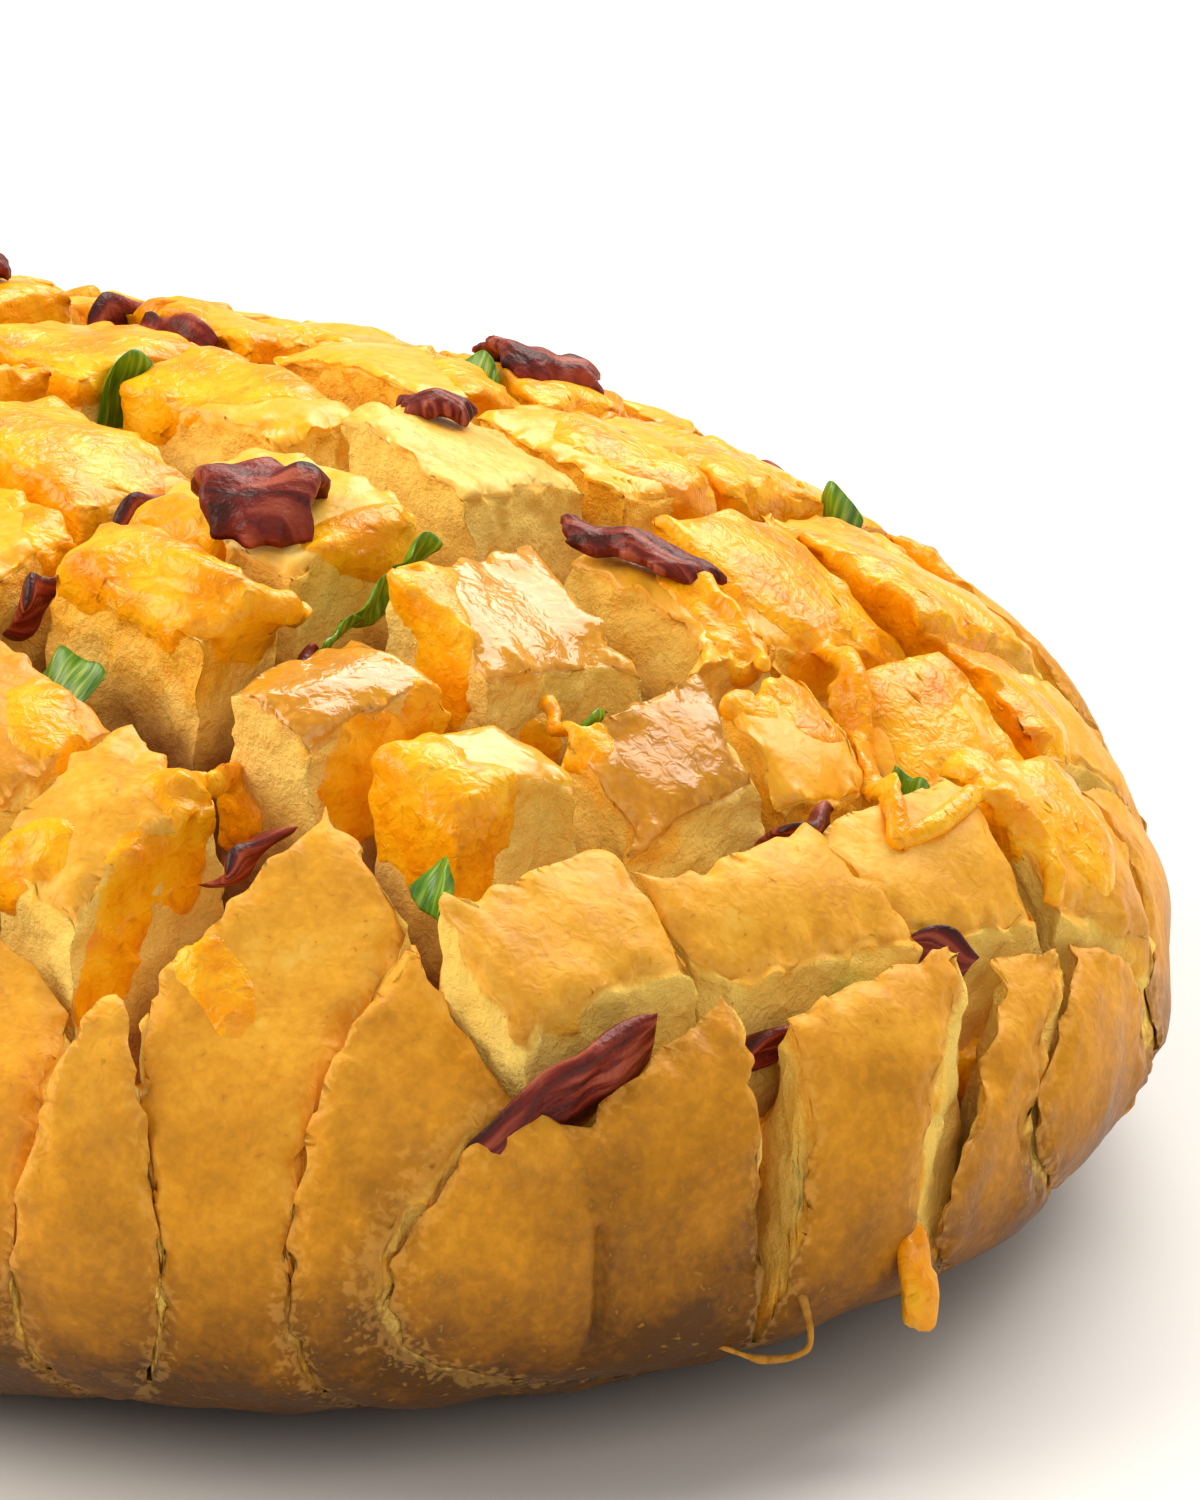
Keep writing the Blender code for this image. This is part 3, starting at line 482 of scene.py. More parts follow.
# Thin splits of the crust that are no cuts: points of the uncooked form.
splits = (((-31.6, -132.1, 30.9), (-31.8, -132.6, 25.0), (-31.6, -131.7, 17.5)),)
splitShape = {"half": 0.6, "depth": 1.5}


def segmentDistance(points, first, last):
    first, last = np.array(first, float), np.array(last, float)
    run = last - first
    part = np.clip((points - first) @ run / (run @ run), 0, 1)
    return np.linalg.norm(points - first - part[:, None] * run, axis=1)


def runDistance(points, run):
    return np.min([segmentDistance(points, a, b) for a, b in zip(run[:-1], run[1:])], axis=0)


class Places:  # what is known about each point of the uncooked form
    def __init__(self, rest):
        x, y, z = rest.T
        self.rest = rest
        above, self.out = aboveCrust(x, y, z)
        self.depth = -above
        self.inCross, self.row = cutDepths("cross", x, y, z)
        self.inLong, self.column = cutDepths("long", x, y, z)
        self.edge = -np.maximum(self.inCross, self.inLong)  # distance to the nearest cut


def rumple(places):  # the points with all the relief of torn crumb and baked crust
    rest = places.rest

    def relief(name, shift):
        size, depth = crumbShape[name]
        return noise(rest, size, shift) * depth

    def nearCut(name):  # the depth at a cut, fading to 0 over the size
        size, depth = crumbShape[name]
        return depth, np.exp(-np.maximum(places.edge, 0) / size)

    wall = smooth(*crumbShape["wallDepths"], places.depth)
    nearRim = np.exp(-(places.depth / crumbShape["rimDepth"]) ** 2)
    nearRim *= np.exp(-(places.edge / crumbShape["rimWidth"]) ** 2)
    nearRim *= smooth(*crumbShape["rimHeights"], rest[:, 2])
    firm = smooth(*crumbShape["firmHeights"], rest[:, 2])[:, None]
    move = relief("wave", 0.0)
    calmRim = 1 - 0.4 * nearRim
    move += (relief("torn", 7.3) + relief("crumbs", 3.1)) * (wall * calmRim)[:, None]
    move += relief("rim", 11.9) * nearRim[:, None]
    crust = relief("crust", 5.5)[:, 0] + relief("crustFine", 2.2)[:, 1]
    pillow, fade = nearCut("pillow")
    crust += pillow * (1 - fade)
    rolled, fade = nearCut("rolled")
    crust -= rolled * fade
    for run in splits:
        crust -= splitShape["depth"] * np.exp(-(runDistance(rest, run) / splitShape["half"]) ** 2)
    toCorner = np.hypot(np.maximum(-places.inCross, 0), np.maximum(-places.inLong, 0))
    size, depth = crumbShape["corner"]
    crust -= depth * np.exp(-toCorner / size) * smooth(*crumbShape["cornerHeights"], rest[:, 2])
    move += places.out * (crust * (1 - wall))[:, None]
    turn = np.arctan2(rest[:, 0], rest[:, 1])  # the loaf's own broad bumps, which the solids have too
    bump = loafShape["bump"] * np.sin(5 * turn + rest[:, 2] / 9) * np.cos(3 * turn - rest[:, 2] / 14)
    bump *= smooth(0.1, 0.5, planShare(rest[:, 0], rest[:, 1]))
    move[:, 0] += bump * np.sin(turn)
    move[:, 1] += bump * np.cos(turn)
    return rest + move * firm


def settled(places, points):  # the points moved with the block that they are on
    lift = settleLift(*places.rest.T, places.row, places.column)
    return points + np.stack([np.zeros(len(lift)), np.zeros(len(lift)), lift], -1)


print("carving the loaf")
loaf = domeMesh()
for kind in ("cross", "long"):
    carve(loaf, cutterMesh(kind))
restPoints, loafTriangles = triangleArrays(loaf)
bpy.data.objects.remove(loaf)
print("triangles", len(loafTriangles), "points", len(restPoints))
loafPlaces = Places(restPoints)
loafPoints = settled(loafPlaces, rumple(loafPlaces))


def linear(colour):  # "#rrggbb" as the linear colour that a socket takes
    channels = [int(colour[i:i + 2], 16) / 255 for i in (1, 3, 5)]
    return (*[c / 12.92 if c <= 0.04045 else ((c + 0.055) / 1.055) ** 2.4 for c in channels], 1)


# Adds a node. Its inputs go by name or in order, and a node given as an input stands for its first output.
def addNode(tree, kind, inputs=(), stops=(), **settings):
    made = tree.nodes.new(kind)
    for key, value in settings.items():
        setattr(made, key, value)
    for key, value in inputs.items() if isinstance(inputs, dict) else enumerate(inputs):
        if isinstance(value, bpy.types.Node):
            value = value.outputs[0]
        if isinstance(value, bpy.types.NodeSocket):
            tree.links.new(value, made.inputs[key])
        else:
            made.inputs[key].default_value = linear(value) if str(value).startswith("#") else value
    for number, (place, colour) in enumerate(stops):
        elements = made.color_ramp.elements
        stop = elements[number] if number < 2 else elements.new(place)
        stop.position = place
        stop.color = linear(colour)
    return made


def newMaterial(name):
    made = bpy.data.materials.new(name)
    made.use_nodes = True
    tree = made.node_tree
    return made, tree, tree.nodes["Principled BSDF"]


def perMetre(size):  # the scale of a pattern whose features are this many mm
    return 1000 / size


noiseNode, rangeNode, mathsNode, mixNode = (
    "ShaderNodeTexNoise", "ShaderNodeMapRange", "ShaderNodeMath", "ShaderNodeMix",
)

# Wheat bread, oven baked: a thin browned crust that is glazed on the crown, over a soft pored crumb.
# It gives golden to brown mottling and fine glossy wrinkles outside, and matt buttery cream where it is torn;
# painted shade darkens the crumb deep in the cuts and the crust low down.
breadLook = {
    "crust": ((0.0, "#FBE59E"), (0.18, "#FAD064"), (0.36, "#F2B034"), (0.52, "#DC9522"), (0.7, "#B47616"),
              (0.87, "#85530E"), (1.0, "#5A370A")),
    # The crumb's last stop, dark brown deep in the cuts, is painted shade.
    "crumb": ((0.0, "#FAB83C"), (0.08, "#FFD566"), (0.3, "#FFDD76"), (0.6, "#F7CA66"), (1.0, "#A06C38")),
    "torn": "#E6B25C", "speck": "#A5621A",
    "soaked": "#F9A602", "soakedPale": "#FFC526", "soaking": 0.85,
    "crustRoughness": 0.48, "crumbRoughness": 0.85, "glazeRoughness": 0.15, "shine": (0.15, 0.5),
    "crumbDepth": 16.0,  # mm from the crust to the last of the crumb's colours
    # Size in mm, detail, distortion, roughness. Flour grain and pores are drawn as coarse as they need to show.
    "patterns": {
        "mottle": (9, 4.0, 0.0, 0.6), "fine": (1.1, 2.0, 0.4, 0.5), "wrinkles": (1.7, 2.0, 0.7, 0.5),
        "pores": (1.1, 4.0, 0.2, 0.7),
    },
    # What is known of each point, the pattern that adds to it or takes from it, and how much.
    "uneven": {
        "tone": ("tone", "fine", 0.05), "edge": ("edge", "fine", 1.3), "inside": ("depth", "mottle", 2.5),
        "open": ("depth", "fine", 0.4), "cheese": ("cheese", "mottle", 0.35), "gloss": ("gloss", "mottle", 0.2),
    },
}


def makeBread():
    made, tree, shader = newMaterial("baked bread")
    where = addNode(tree, "ShaderNodeTexCoord").outputs["Object"]
    given, patterns, uneven = {}, {}, {}
    for name in ("tone", "edge", "depth", "cheese", "gloss"):
        given[name] = addNode(tree, "ShaderNodeAttribute", attribute_name=name).outputs["Fac"]
    for name, (size, detail, distortion, roughness) in breadLook["patterns"].items():
        sockets = {"Vector": where, "Scale": perMetre(size), "Detail": detail, "Distortion": distortion,
                   "Roughness": roughness}
        patterns[name] = addNode(tree, noiseNode, sockets)
    for name, (source, pattern, spread) in breadLook["uneven"].items():
        change = addNode(tree, rangeNode, (patterns[pattern], 0.3, 0.7, -spread, spread))
        uneven[name] = addNode(tree, mathsNode, (given[source], change), operation="ADD")
    mottle, fine = patterns["mottle"], patterns["fine"]

    change = addNode(tree, rangeNode, (mottle, 0.25, 0.75, -0.15, 0.15))
    tone = addNode(tree, mathsNode, (uneven["tone"], change), operation="ADD")
    crust = addNode(tree, "ShaderNodeValToRGB", (tone,), stops=breadLook["crust"])
    isSpeck = addNode(tree, rangeNode, (fine, 0.68, 0.74, 0.0, 0.5))
    crust = addNode(tree, mixNode, {0: isSpeck, 6: crust, 7: breadLook["speck"]}, data_type="RGBA").outputs[2]
    isTorn = addNode(tree, rangeNode, (uneven["edge"], 0.9, 0.1, 0.0, 0.25))
    crust = addNode(tree, mixNode, {0: isTorn, 6: crust, 7: breadLook["torn"]}, data_type="RGBA").outputs[2]
    inside = addNode(tree, mathsNode, (uneven["inside"], breadLook["crumbDepth"]), operation="DIVIDE")
    # Deep in the cuts this crumb ramp ends in painted shade.
    crumb = addNode(tree, "ShaderNodeValToRGB", (inside,), stops=breadLook["crumb"])
    isCrumb = addNode(tree, rangeNode, (uneven["open"], 0.3, 1.1))
    colour = addNode(tree, mixNode, {0: isCrumb, 6: crust, 7: crumb}, data_type="RGBA").outputs[2]
    isSoaked = addNode(tree, rangeNode, (uneven["cheese"], 0.3, 0.8))
    isPale = addNode(tree, rangeNode, (fine, 0.3, 0.7))
    sockets = {0: isPale, 6: breadLook["soaked"], 7: breadLook["soakedPale"]}
    soaked = addNode(tree, mixNode, sockets, data_type="RGBA").outputs[2]
    share = addNode(tree, mathsNode, (isSoaked, breadLook["soaking"]), operation="MULTIPLY")
    colour = addNode(tree, mixNode, {0: share, 6: colour, 7: soaked}, data_type="RGBA").outputs[2]
    tree.links.new(colour, shader.inputs["Base Color"])

    wet = addNode(tree, mathsNode, (isSoaked, 0.5), operation="MULTIPLY")
    gloss = addNode(tree, mathsNode, (uneven["gloss"], wet), operation="MAXIMUM")
    isGlazed = addNode(tree, rangeNode, (gloss, 0.0, 1.0))
    dull = addNode(tree, mixNode, {0: isGlazed, 2: breadLook["crustRoughness"], 3: breadLook["glazeRoughness"]})
    oil = addNode(tree, mathsNode, (isSoaked, 0.4), operation="MULTIPLY")
    dullCrumb = addNode(tree, mathsNode, (breadLook["crumbRoughness"], oil), operation="SUBTRACT")
    dull = addNode(tree, mixNode, {0: isCrumb, 2: dull, 3: dullCrumb})
    tree.links.new(dull.outputs[0], shader.inputs["Roughness"])
    shine = addNode(tree, rangeNode, (gloss, 0.0, 1.0, *breadLook["shine"]))
    tree.links.new(shine.outputs[0], shader.inputs["Specular IOR Level"])

    height = addNode(tree, rangeNode, (isSoaked, 0.0, 1.0, 0.2, 0.08))
    wrinkles = addNode(tree, mathsNode, (patterns["wrinkles"], height), operation="MULTIPLY")
    pores = addNode(tree, mathsNode, (patterns["pores"], 0.7), operation="MULTIPLY")
    isOpen = addNode(tree, rangeNode, (given["depth"], 0.4, 1.0))
    relief = addNode(tree, mixNode, {0: isOpen, 2: wrinkles, 3: pores})
    bump = addNode(tree, "ShaderNodeBump", {"Height": relief, "Distance": 1.0 * mm, "Strength": 1.0})
    tree.links.new(bump.outputs["Normal"], shader.inputs["Normal"])
    return made


# How each block near the camera is baked: browning, glaze, melted cheese on it.
blockLooks = {
    (0, 0): (0.3, 0.6, 0.95), (0, 1): (0.2, 0.4, 0.45), (0, 2): (0.22, 0.3, 0.2), (0, 3): (0.35, 0.5, 0.9),
    (1, 0): (0.56, 1.0, 0.15), (1, 1): (0.5, 1.0, 0.25), (1, 2): (0.42, 0.6, 0.5), (1, 3): (0.6, 0.5, 1.0),
    (2, 0): (0.46, 0.8, 0.55), (2, 1): (0.58, 0.9, 0.15), (2, 2): (0.42, 0.6, 0.75), (2, 3): (0.35, 0.5, 1.0),
    (1, -1): (0.38, 0.25, 0.1), (2, -1): (0.42, 0.2, 0.0), (3, -1): (0.46, 0.15, 0.0),
    (3, 0): (0.36, 0.25, 0.0), (3, 1): (0.4, 0.3, 0.0), (3, 2): (0.34, 0.3, 0.15),
    (4, 0): (0.52, 0.15, 0.0), (4, 1): (0.4, 0.15, 0.0),
    (4, 2): (0.38, 0.15, 0.0), (4, 3): (0.36, 0.2, 0.2), (3, 3): (0.36, 0.4, 0.8), (3, 4): (0.36, 0.4, 0.9),
    (2, 4): (0.36, 0.4, 1.0), (1, 4): (0.4, 0.4, 1.0), (0, 4): (0.4, 0.4, 0.9),
}
# The same for the other blocks: middle and spread of what is drawn. Far ones have more cheese.
usualLooks = {"browning": (0.4, 0.1), "glaze": (0.4, 0.2), "cheese": (0.1, 0.2), "farCheese": (0.75, 0.2)}
bakeShape = {  # heights in mm between which a look grows from nothing to full
    # The crust drawn darker low on the sides and towards the bottom is painted shade.
    "sides": (56, 30), "sidesPaintedShade": 0.16, "low": (38, 3), "lowPaintedShade": 0.5,
    "glazed": (52, 66), "cheesy": (40, 56), "cheesyDepths": (14, 2),
}


def loafAttributes(places, points):
    rng = np.random.default_rng(21)
    rows, columns = blockTable.shape[:2]
    table = np.empty((rows, columns, 3))
    for i in range(rows):
        for j in range(columns):
            row, column = i + firstBlock["cross"], j + firstBlock["long"]
            far = row < 0 or column > 2
            names = ("browning", "glaze", "farCheese" if far else "cheese")
            usual = [middle + rng.uniform(-spread, spread) for middle, spread in map(usualLooks.get, names)]
            table[i, j] = blockLooks.get((row, column), usual)
    tone, gloss, cheese = np.zeros((3, len(points)))
    for i, j, weight in blockShares(places.row, places.column):
        tone += weight * table[i, j, 0]
        gloss += weight * table[i, j, 1]
        cheese += weight * table[i, j, 2]
    z = places.rest[:, 2]
    # Painted shade: the crust is drawn darker low on the sides and darker still towards the bottom.
    tone += bakeShape["sidesPaintedShade"] * smooth(*bakeShape["sides"], z)
    tone += bakeShape["lowPaintedShade"] * smooth(*bakeShape["low"], z)
    gloss *= 0.3 + 0.7 * smooth(*bakeShape["glazed"], z)
    cheese *= smooth(*bakeShape["cheesy"], z) * smooth(*bakeShape["cheesyDepths"], places.depth)
    return {"depth": places.depth, "edge": places.edge, "tone": tone, "gloss": gloss, "cheese": cheese}


def fillHoles(thing):  # closes the open ends of a piece
    work = bmesh.new()
    work.from_mesh(thing.data)
    rims = [edge for edge in work.edges if edge.is_boundary]
    made = bmesh.ops.holes_fill(work, edges=rims, sides=0)["faces"]
    bmesh.ops.triangulate(work, faces=made)
    work.to_mesh(thing.data)
    work.free()


splitCuts = (-3, -1, 0, 1, 2, 3, 4)  # the loaf is parted along these cuts, to keep its pieces light


def splitLoaf(points, triangles, places, attributes, made):
    towardEnd, towardSide = fromPlan(*places.rest[:, :2].T)
    group = np.zeros(len(points), int)
    for number in splitCuts:
        group += towardEnd > cutCentre("cross", number, towardSide)
    faceGroup = np.max(group[triangles], axis=1)
    for number in range(len(splitCuts) + 1):
        chosen = triangles[faceGroup == number]
        used, inverse = np.unique(chosen, return_inverse=True)
        kept = {key: values[used] for key, values in attributes.items()}
        piece = meshObject(f"bread_{number + 1}", points[used], inverse.reshape(-1, 3), made, kept)
        fillHoles(piece)
        print(piece.name, len(piece.data.polygons))
        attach(piece, "root")
        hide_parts("loaf")


print("colouring the bread")
bread = makeBread()
splitLoaf(loafPoints, loafTriangles, loafPlaces, loafAttributes(loafPlaces, loafPoints), bread)


# Melted cheese on the crust and down the cut sides: thickness, reach, points of the uncooked form.
cheeseCoats = (
    (1.7, 6.5, ((-26.7, -37.6, 73.5), (-23.9, -41.3, 73.7), (-24.5, -46.6, 72.7), (-25.0, -55.0, 71.5),
                (-23.3, -58.0, 71.3))),
    (1.6, 4.5, ((-31.0, -41.4, 72.8), (-29.2, -38.9, 73.1), (-23.6, -38.8, 73.9))),
    (1.3, 4.2, ((-5.0, -67.0, 70.7), (-7.5, -72.0, 69.6), (-8.5, -74.4, 66.9), (-8.8, -75.3, 62.8))),
    (1.2, 3.2, ((-9.0, -76.0, 61.0), (-15.2, -82.0, 64.7))),
    (1.5, 3.6, ((-45.4, -80.1, 62.4), (-44.9, -82.7, 61.8), (-33.3, -71.4, 53.4))),
    (1.2, 3.0, ((-45.9, -83.0, 58.5), (-47.5, -83.7, 54.0))),
    (1.5, 6.0, ((-23.6, -83.2, 59.1), (-26.7, -93.5, 62.1), (-28.3, -94.7, 57.1), (-27.2, -102.0, 54.4),
                (-23.3, -102.4, 58.0))),
    (1.2, 3.0, ((1.0, -81.4, 59.6), (-3.3, -93.0, 63.1))),
    (1.2, 2.5, ((18.8, -89.2, 64.5), (23.5, -90.7, 63.5))),
    (1.6, 4.2, ((30.5, -70.4, 67.9), (30.6, -75.8, 67.1), (30.0, -80.8, 65.0), (28.0, -87.2, 63.0))),
    (1.4, 4.2, ((32.0, -86.6, 63.5), (39.9, -87.0, 61.7), (44.8, -77.1, 59.9))),
    (1.5, 4.6, ((-4.2, -52.2, 73.4), (1.1, -53.3, 71.5), (-2.0, -58.3, 68.1))),
    (1.3, 4.0, ((-13.4, -31.3, 75.2), (-14.4, -38.3, 74.5))),
    (1.0, 7.0, ((42.4, -60.8, 67.7), (48.4, -67.7, 64.8), (52.4, -74.2, 61.9))),
    (1.1, 5.0, ((47.0, -87.1, 59.7), (60.9, -82.2, 52.8))),
    (1.2, 4.0, ((40.7, -112.6, 49.8), (49.0, -110.9, 48.3), (49.0, -114.3, 44.6))),
    (0.7, 3.6, ((-52.7, -83.5, 57.6), (-56.0, -84.3, 52.0), (-59.3, -85.4, 45.4))),
    (0.7, 3.4, ((-56.5, -96.8, 52.1), (-54.8, -102.5, 49.8))),
    (1.3, 3.8, ((-46.3, -55.8, 67.7), (-49.2, -60.9, 64.0))),
    (1.3, 4.2, ((-62.3, -72.6, 56.0), (-60.3, -75.0, 58.9))),
    (1.2, 8.0, ((-9.9, 1.3, 76.5), (-7.1, -9.3, 76.5))),
    (1.2, 8.0, ((17.8, 11.9, 75.9), (23.1, -1.3, 75.6))),
    (1.1, 7.0, ((48.4, -30.9, 70.3), (52.4, -41.4, 68.2))),
    (1.1, 6.0, ((61.6, -33.2, 66.3), (61.0, -41.1, 65.6))),
    (1.1, 8.0, ((11.3, 32.6, 75.2), (17.5, 25.1, 75.4))),
    (1.4, 6.5, ((45.7, -87.9, 59.8), (47.5, -91.5, 58.0), (41.4, -103.6, 54.6))),
    (1.4, 8.5, ((45.5, -64.4, 66.3), (48.5, -68.3, 64.6), (50.4, -72.1, 63.2))),
    (1.3, 8.0, ((60.3, -57.6, 63.2), (60.0, -65.8, 59.5), (60.1, -70.7, 55.8))),
    (1.3, 7.5, ((62.5, -81.0, 55.9), (61.5, -88.9, 51.4), (57.2, -98.0, 50.8))),
    (1.2, 5.0, ((30.2, -90.5, 62.5), (39.3, -86.8, 61.9))),
    (1.2, 4.6, ((51.6, -106.0, 49.3), (52.0, -110.6, 45.9))),
    (1.2, 8.0, ((42.2, -58.3, 68.2), (51.4, -57.8, 66.0))),
)
# Lips, drips and strands: radius, points.
cheeseRopes = (
    (1.9, ((-25.3, -50.5, 73.8), (-24.2, -55.3, 73.2), (-22.0, -59.7, 72.0), (-18.4, -61.5, 71.0),
           (-16.7, -60.4, 69.8))),
    (1.3, ((-45.0, -80.1, 63.4), (-40.0, -76.0, 60.5), (-33.3, -71.4, 58.4))),
    (0.8, ((1.0, -81.4, 64.6), (-1.5, -87.0, 62.0), (-3.3, -92.0, 64.1))),
    (1.4, ((46.5, -74.9, 62.8), (41.6, -86.6, 63.2), (38.8, -90.9, 61.6), (31.4, -101.8, 58.6),
           (24.8, -110.3, 56.3), (22.5, -113.0, 54.8))),
    (1.1, ((22.5, -113.0, 54.6), (28.6, -112.8, 54.0), (33.7, -111.5, 53.6), (40.8, -109.7, 52.5))),
    (1.2, ((40.8, -109.7, 52.2), (40.7, -112.6, 50.8), (41.9, -115.4, 48.3), (40.3, -119.7, 45.4))),
    (1.2, ((30.1, -71.4, 69.0), (30.6, -75.8, 68.2), (30.0, -80.8, 66.5), (29.0, -85.2, 64.5))),
    (1.6, ((5.6, -137.2, 21.5), (4.8, -138.6, 17.5), (4.0, -139.2, 13.0))),
    (1.3, ((3.6, -137.8, 21.0), (2.9, -138.9, 17.5), (2.6, -139.3, 14.0))),
)
# The same on the far side, drawn between these.
spareCheese = {
    "seed": 41, "spacing": (9.0, 19.0), "length": (7.0, 17.0), "reach": (3.5, 7.5), "thickness": (0.6, 1.1),
    "offCentre": 4, "wander": 2, "closeEnd": 18, "closeSide": 40, "rim": 0.86,
}
cheeseShape = {
    "voxel": 0.5, "corner": (-112.0, -146.0, 8.0), "cells": (448, 584, 172), "simplify": 0.15,
    "under": 1.1, "thin": 0.6, "uneven": 0.3, "ragged": 0.22, "grain": 3.0, "raggedSize": 4.5, "blend": 0.9,
}
fillShape = {
    "share": 0.62, "thick": 5, "columns": 9, "reach": 1.15, "spacing": 1.7, "clearEnds": 4,
    "mostPlan": 0.93, "leastCrust": 40, "lumps": (7.0, 2.2), "swells": (18.0, 3.5), "climbs": 1.2,
}


def nearCuts(kind, low, high):  # the cuts that pass a box
    x, y = (low + high)[:2] / 2
    towardEnd, towardSide = fromPlan(x, y)
    across, along = (towardEnd, towardSide) if kind == "cross" else (towardSide, towardEnd)
    reach = np.linalg.norm((high - low)[:2]) / 2 + 12
    return [n for n in cutNumbers(kind) if abs(cutCentre(kind, n, along) - across) < reach]


def breadDistance(points, low, high):  # distance from the cut bread, below 0 inside it
    parts = [aboveCrust(*points.T)[0]]
    parts += [cutDepths(kind, *points.T, nearCuts(kind, low, high))[0] for kind in ("cross", "long")]
    parts = np.array(parts)
    outside = np.sqrt(np.sum(np.maximum(parts, 0) ** 2, axis=0))
    return np.where(np.max(parts, axis=0) > 0, outside, np.max(parts, axis=0))


def softMinimum(a, b, width):
    share = np.clip(0.5 + 0.5 * (b - a) / width, 0, 1)
    return b + (a - b) * share - width * share * (1 - share)


def spareCoats():  # more of the same along the cuts that the close blocks don't show
    rng = np.random.default_rng(spareCheese["seed"])
    coats = []
    for kind in ("cross", "long"):
        for number in cutNumbers(kind):
            low, high = cutReach(kind, number)
            place = low + rng.uniform(*spareCheese["spacing"])
            while place < high:
                length = rng.uniform(*spareCheese["length"])
                side = rng.uniform(-spareCheese["offCentre"], spareCheese["offCentre"])
                run = []
                for along in (place, place + length / 2, place + length):
                    wander = rng.uniform(-spareCheese["wander"], spareCheese["wander"])
                    across = cutCentre(kind, number, along) + side + wander
                    x, y = (float(value) for value in toPlan(kind, across, along))
                    run.append((x, y, float(crustHeight(x, y))))
                reach, thickness = rng.uniform(*spareCheese["reach"]), rng.uniform(*spareCheese["thickness"])
                towardEnd, towardSide = fromPlan(run[1][0], run[1][1])
                close = towardEnd > spareCheese["closeEnd"] and towardSide < spareCheese["closeSide"]
                if not close and planShare(run[1][0], run[1][1]) < spareCheese["rim"]:
                    coats.append((thickness, reach, tuple(run)))
                place += length + rng.uniform(*spareCheese["spacing"]) * 0.6
    return coats


def meltCheese():  # all coats and ropes, as distances in a field of small cells and then as a mesh
    voxel, ragged = cheeseShape["voxel"], cheeseShape["ragged"]
    origin = np.array(cheeseShape["corner"])
    far = 1.6
    field = np.full(cheeseShape["cells"], far, np.float32)
    coats = [*cheeseCoats, *spareCoats()]
    jobs = [(reach + 1, thickness, reach, run) for thickness, reach, run in coats]
    jobs += [(radius + 1, 0, radius, run) for radius, run in cheeseRopes]
    for margin, thickness, reach, run in jobs:
        low = np.floor((np.min(run, axis=0) - margin - 1 - origin) / voxel).astype(int)
        high = np.ceil((np.max(run, axis=0) + margin + 1 - origin) / voxel).astype(int)
        spans = [np.arange(a, b) for a, b in zip(low, high)]
        cells = np.stack(np.meshgrid(*spans, indexing="ij"), -1).reshape(-1, 3)
        points = origin + cells * voxel
        away = runDistance(points, run)
        chosen = away < reach + 1
        cells, points, away = cells[chosen], points[chosen], away[chosen]
        uneven = noise(points, cheeseShape["grain"], 1.7)[:, 0]
        if thickness:
            bread = breadDistance(points, points.min(axis=0), points.max(axis=0))
            edge = away / reach + ragged * noise(points, cheeseShape["raggedSize"], 6.1)[:, 1]
            thick = cheeseShape["thin"] * thickness * (1 - np.clip(edge, 0, 1.4) ** 4)
            thick = thick + cheeseShape["uneven"] * uneven
            value = np.maximum(bread - thick, -cheeseShape["under"] - bread)
        else:
            value = away - reach * (1 + ragged * uneven)
        at = tuple(cells.T)
        field[at] = np.minimum(softMinimum(field[at], value, cheeseShape["blend"]), far)
    grid = openvdb.FloatGrid(far)
    grid.copyFromArray(field)
    points, triangles, quads = grid.convertToPolygons(isovalue=0.0, adaptivity=cheeseShape["simplify"])
    return origin + points * voxel, np.concatenate([triangles, halves(quads)])


def shareIslands(points, triangles):  # whole islands of cheese, shared out by the end of the loaf they are at
    island = np.arange(len(points))
    before = island - 1
    while np.any(island != before):
        before = island.copy()
        lowest = island[triangles].min(axis=1)
        for corner in range(3):
            np.minimum.at(island, triangles[:, corner], lowest)
        island = island[island]
    towardEnd = fromPlan(*points[:, :2].T)[0]
    sizes = np.maximum(np.bincount(island, minlength=len(points)), 1)
    middle = np.bincount(island, towardEnd, len(points)) / sizes
    isNear = middle[island[triangles[:, 0]]] > 0
    parts = []
    for chosen in (triangles[~isNear], triangles[isNear]):
        used, inverse = np.unique(chosen, return_inverse=True)
        parts.append((points[used], inverse.reshape(-1, 3)))
    return parts


def fillCuts():  # the cheese that stands in the cuts, one wavy plate for each
    points, faces, start = [], [], 0
    for kind in ("cross", "long"):
        for number in cutNumbers(kind):
            low, high = cutReach(kind, number)
            clear = fillShape["clearEnds"]
            along = np.arange(low + clear, high - clear, fillShape["spacing"])
            x, y = toPlan(kind, cutCentre(kind, number, along), along)
            crust = crustHeight(x, y)
            inside = (planShare(x, y) < fillShape["mostPlan"]) & (crust > fillShape["leastCrust"])
            if np.count_nonzero(inside) < 4:
                continue
            along, crust = along[inside][:, None], crust[inside][:, None]
            across = np.linspace(-fillShape["reach"], fillShape["reach"], fillShape["columns"])[None, :]
            top = crust * fillShape["share"] + 0 * across
            wallLow, wallHigh = walls(kind, number, along, top)
            place = (wallLow + wallHigh) / 2 + across * (wallHigh - wallLow) / 2
            x, y = toPlan(kind, place, along)
            flat = np.stack([x, y, top], -1).reshape(-1, 3)
            size, height = fillShape["lumps"]
            lumps = noise(flat, size, 4.4)[:, 0] * height
            size, height = fillShape["swells"]
            lumps = lumps + noise(flat, size, 9.1)[:, 1] * height
            climb = fillShape["climbs"] * np.tile(across[0] ** 2, len(along))
            grid = flat + np.stack([0 * lumps, 0 * lumps, lumps + climb], -1)
            points += [grid, grid - [0, 0, fillShape["thick"]]]
            faces.append(plateFaces(len(along), fillShape["columns"], start))
            start += 2 * len(grid)
    return np.concatenate(points), halves(np.concatenate(faces))


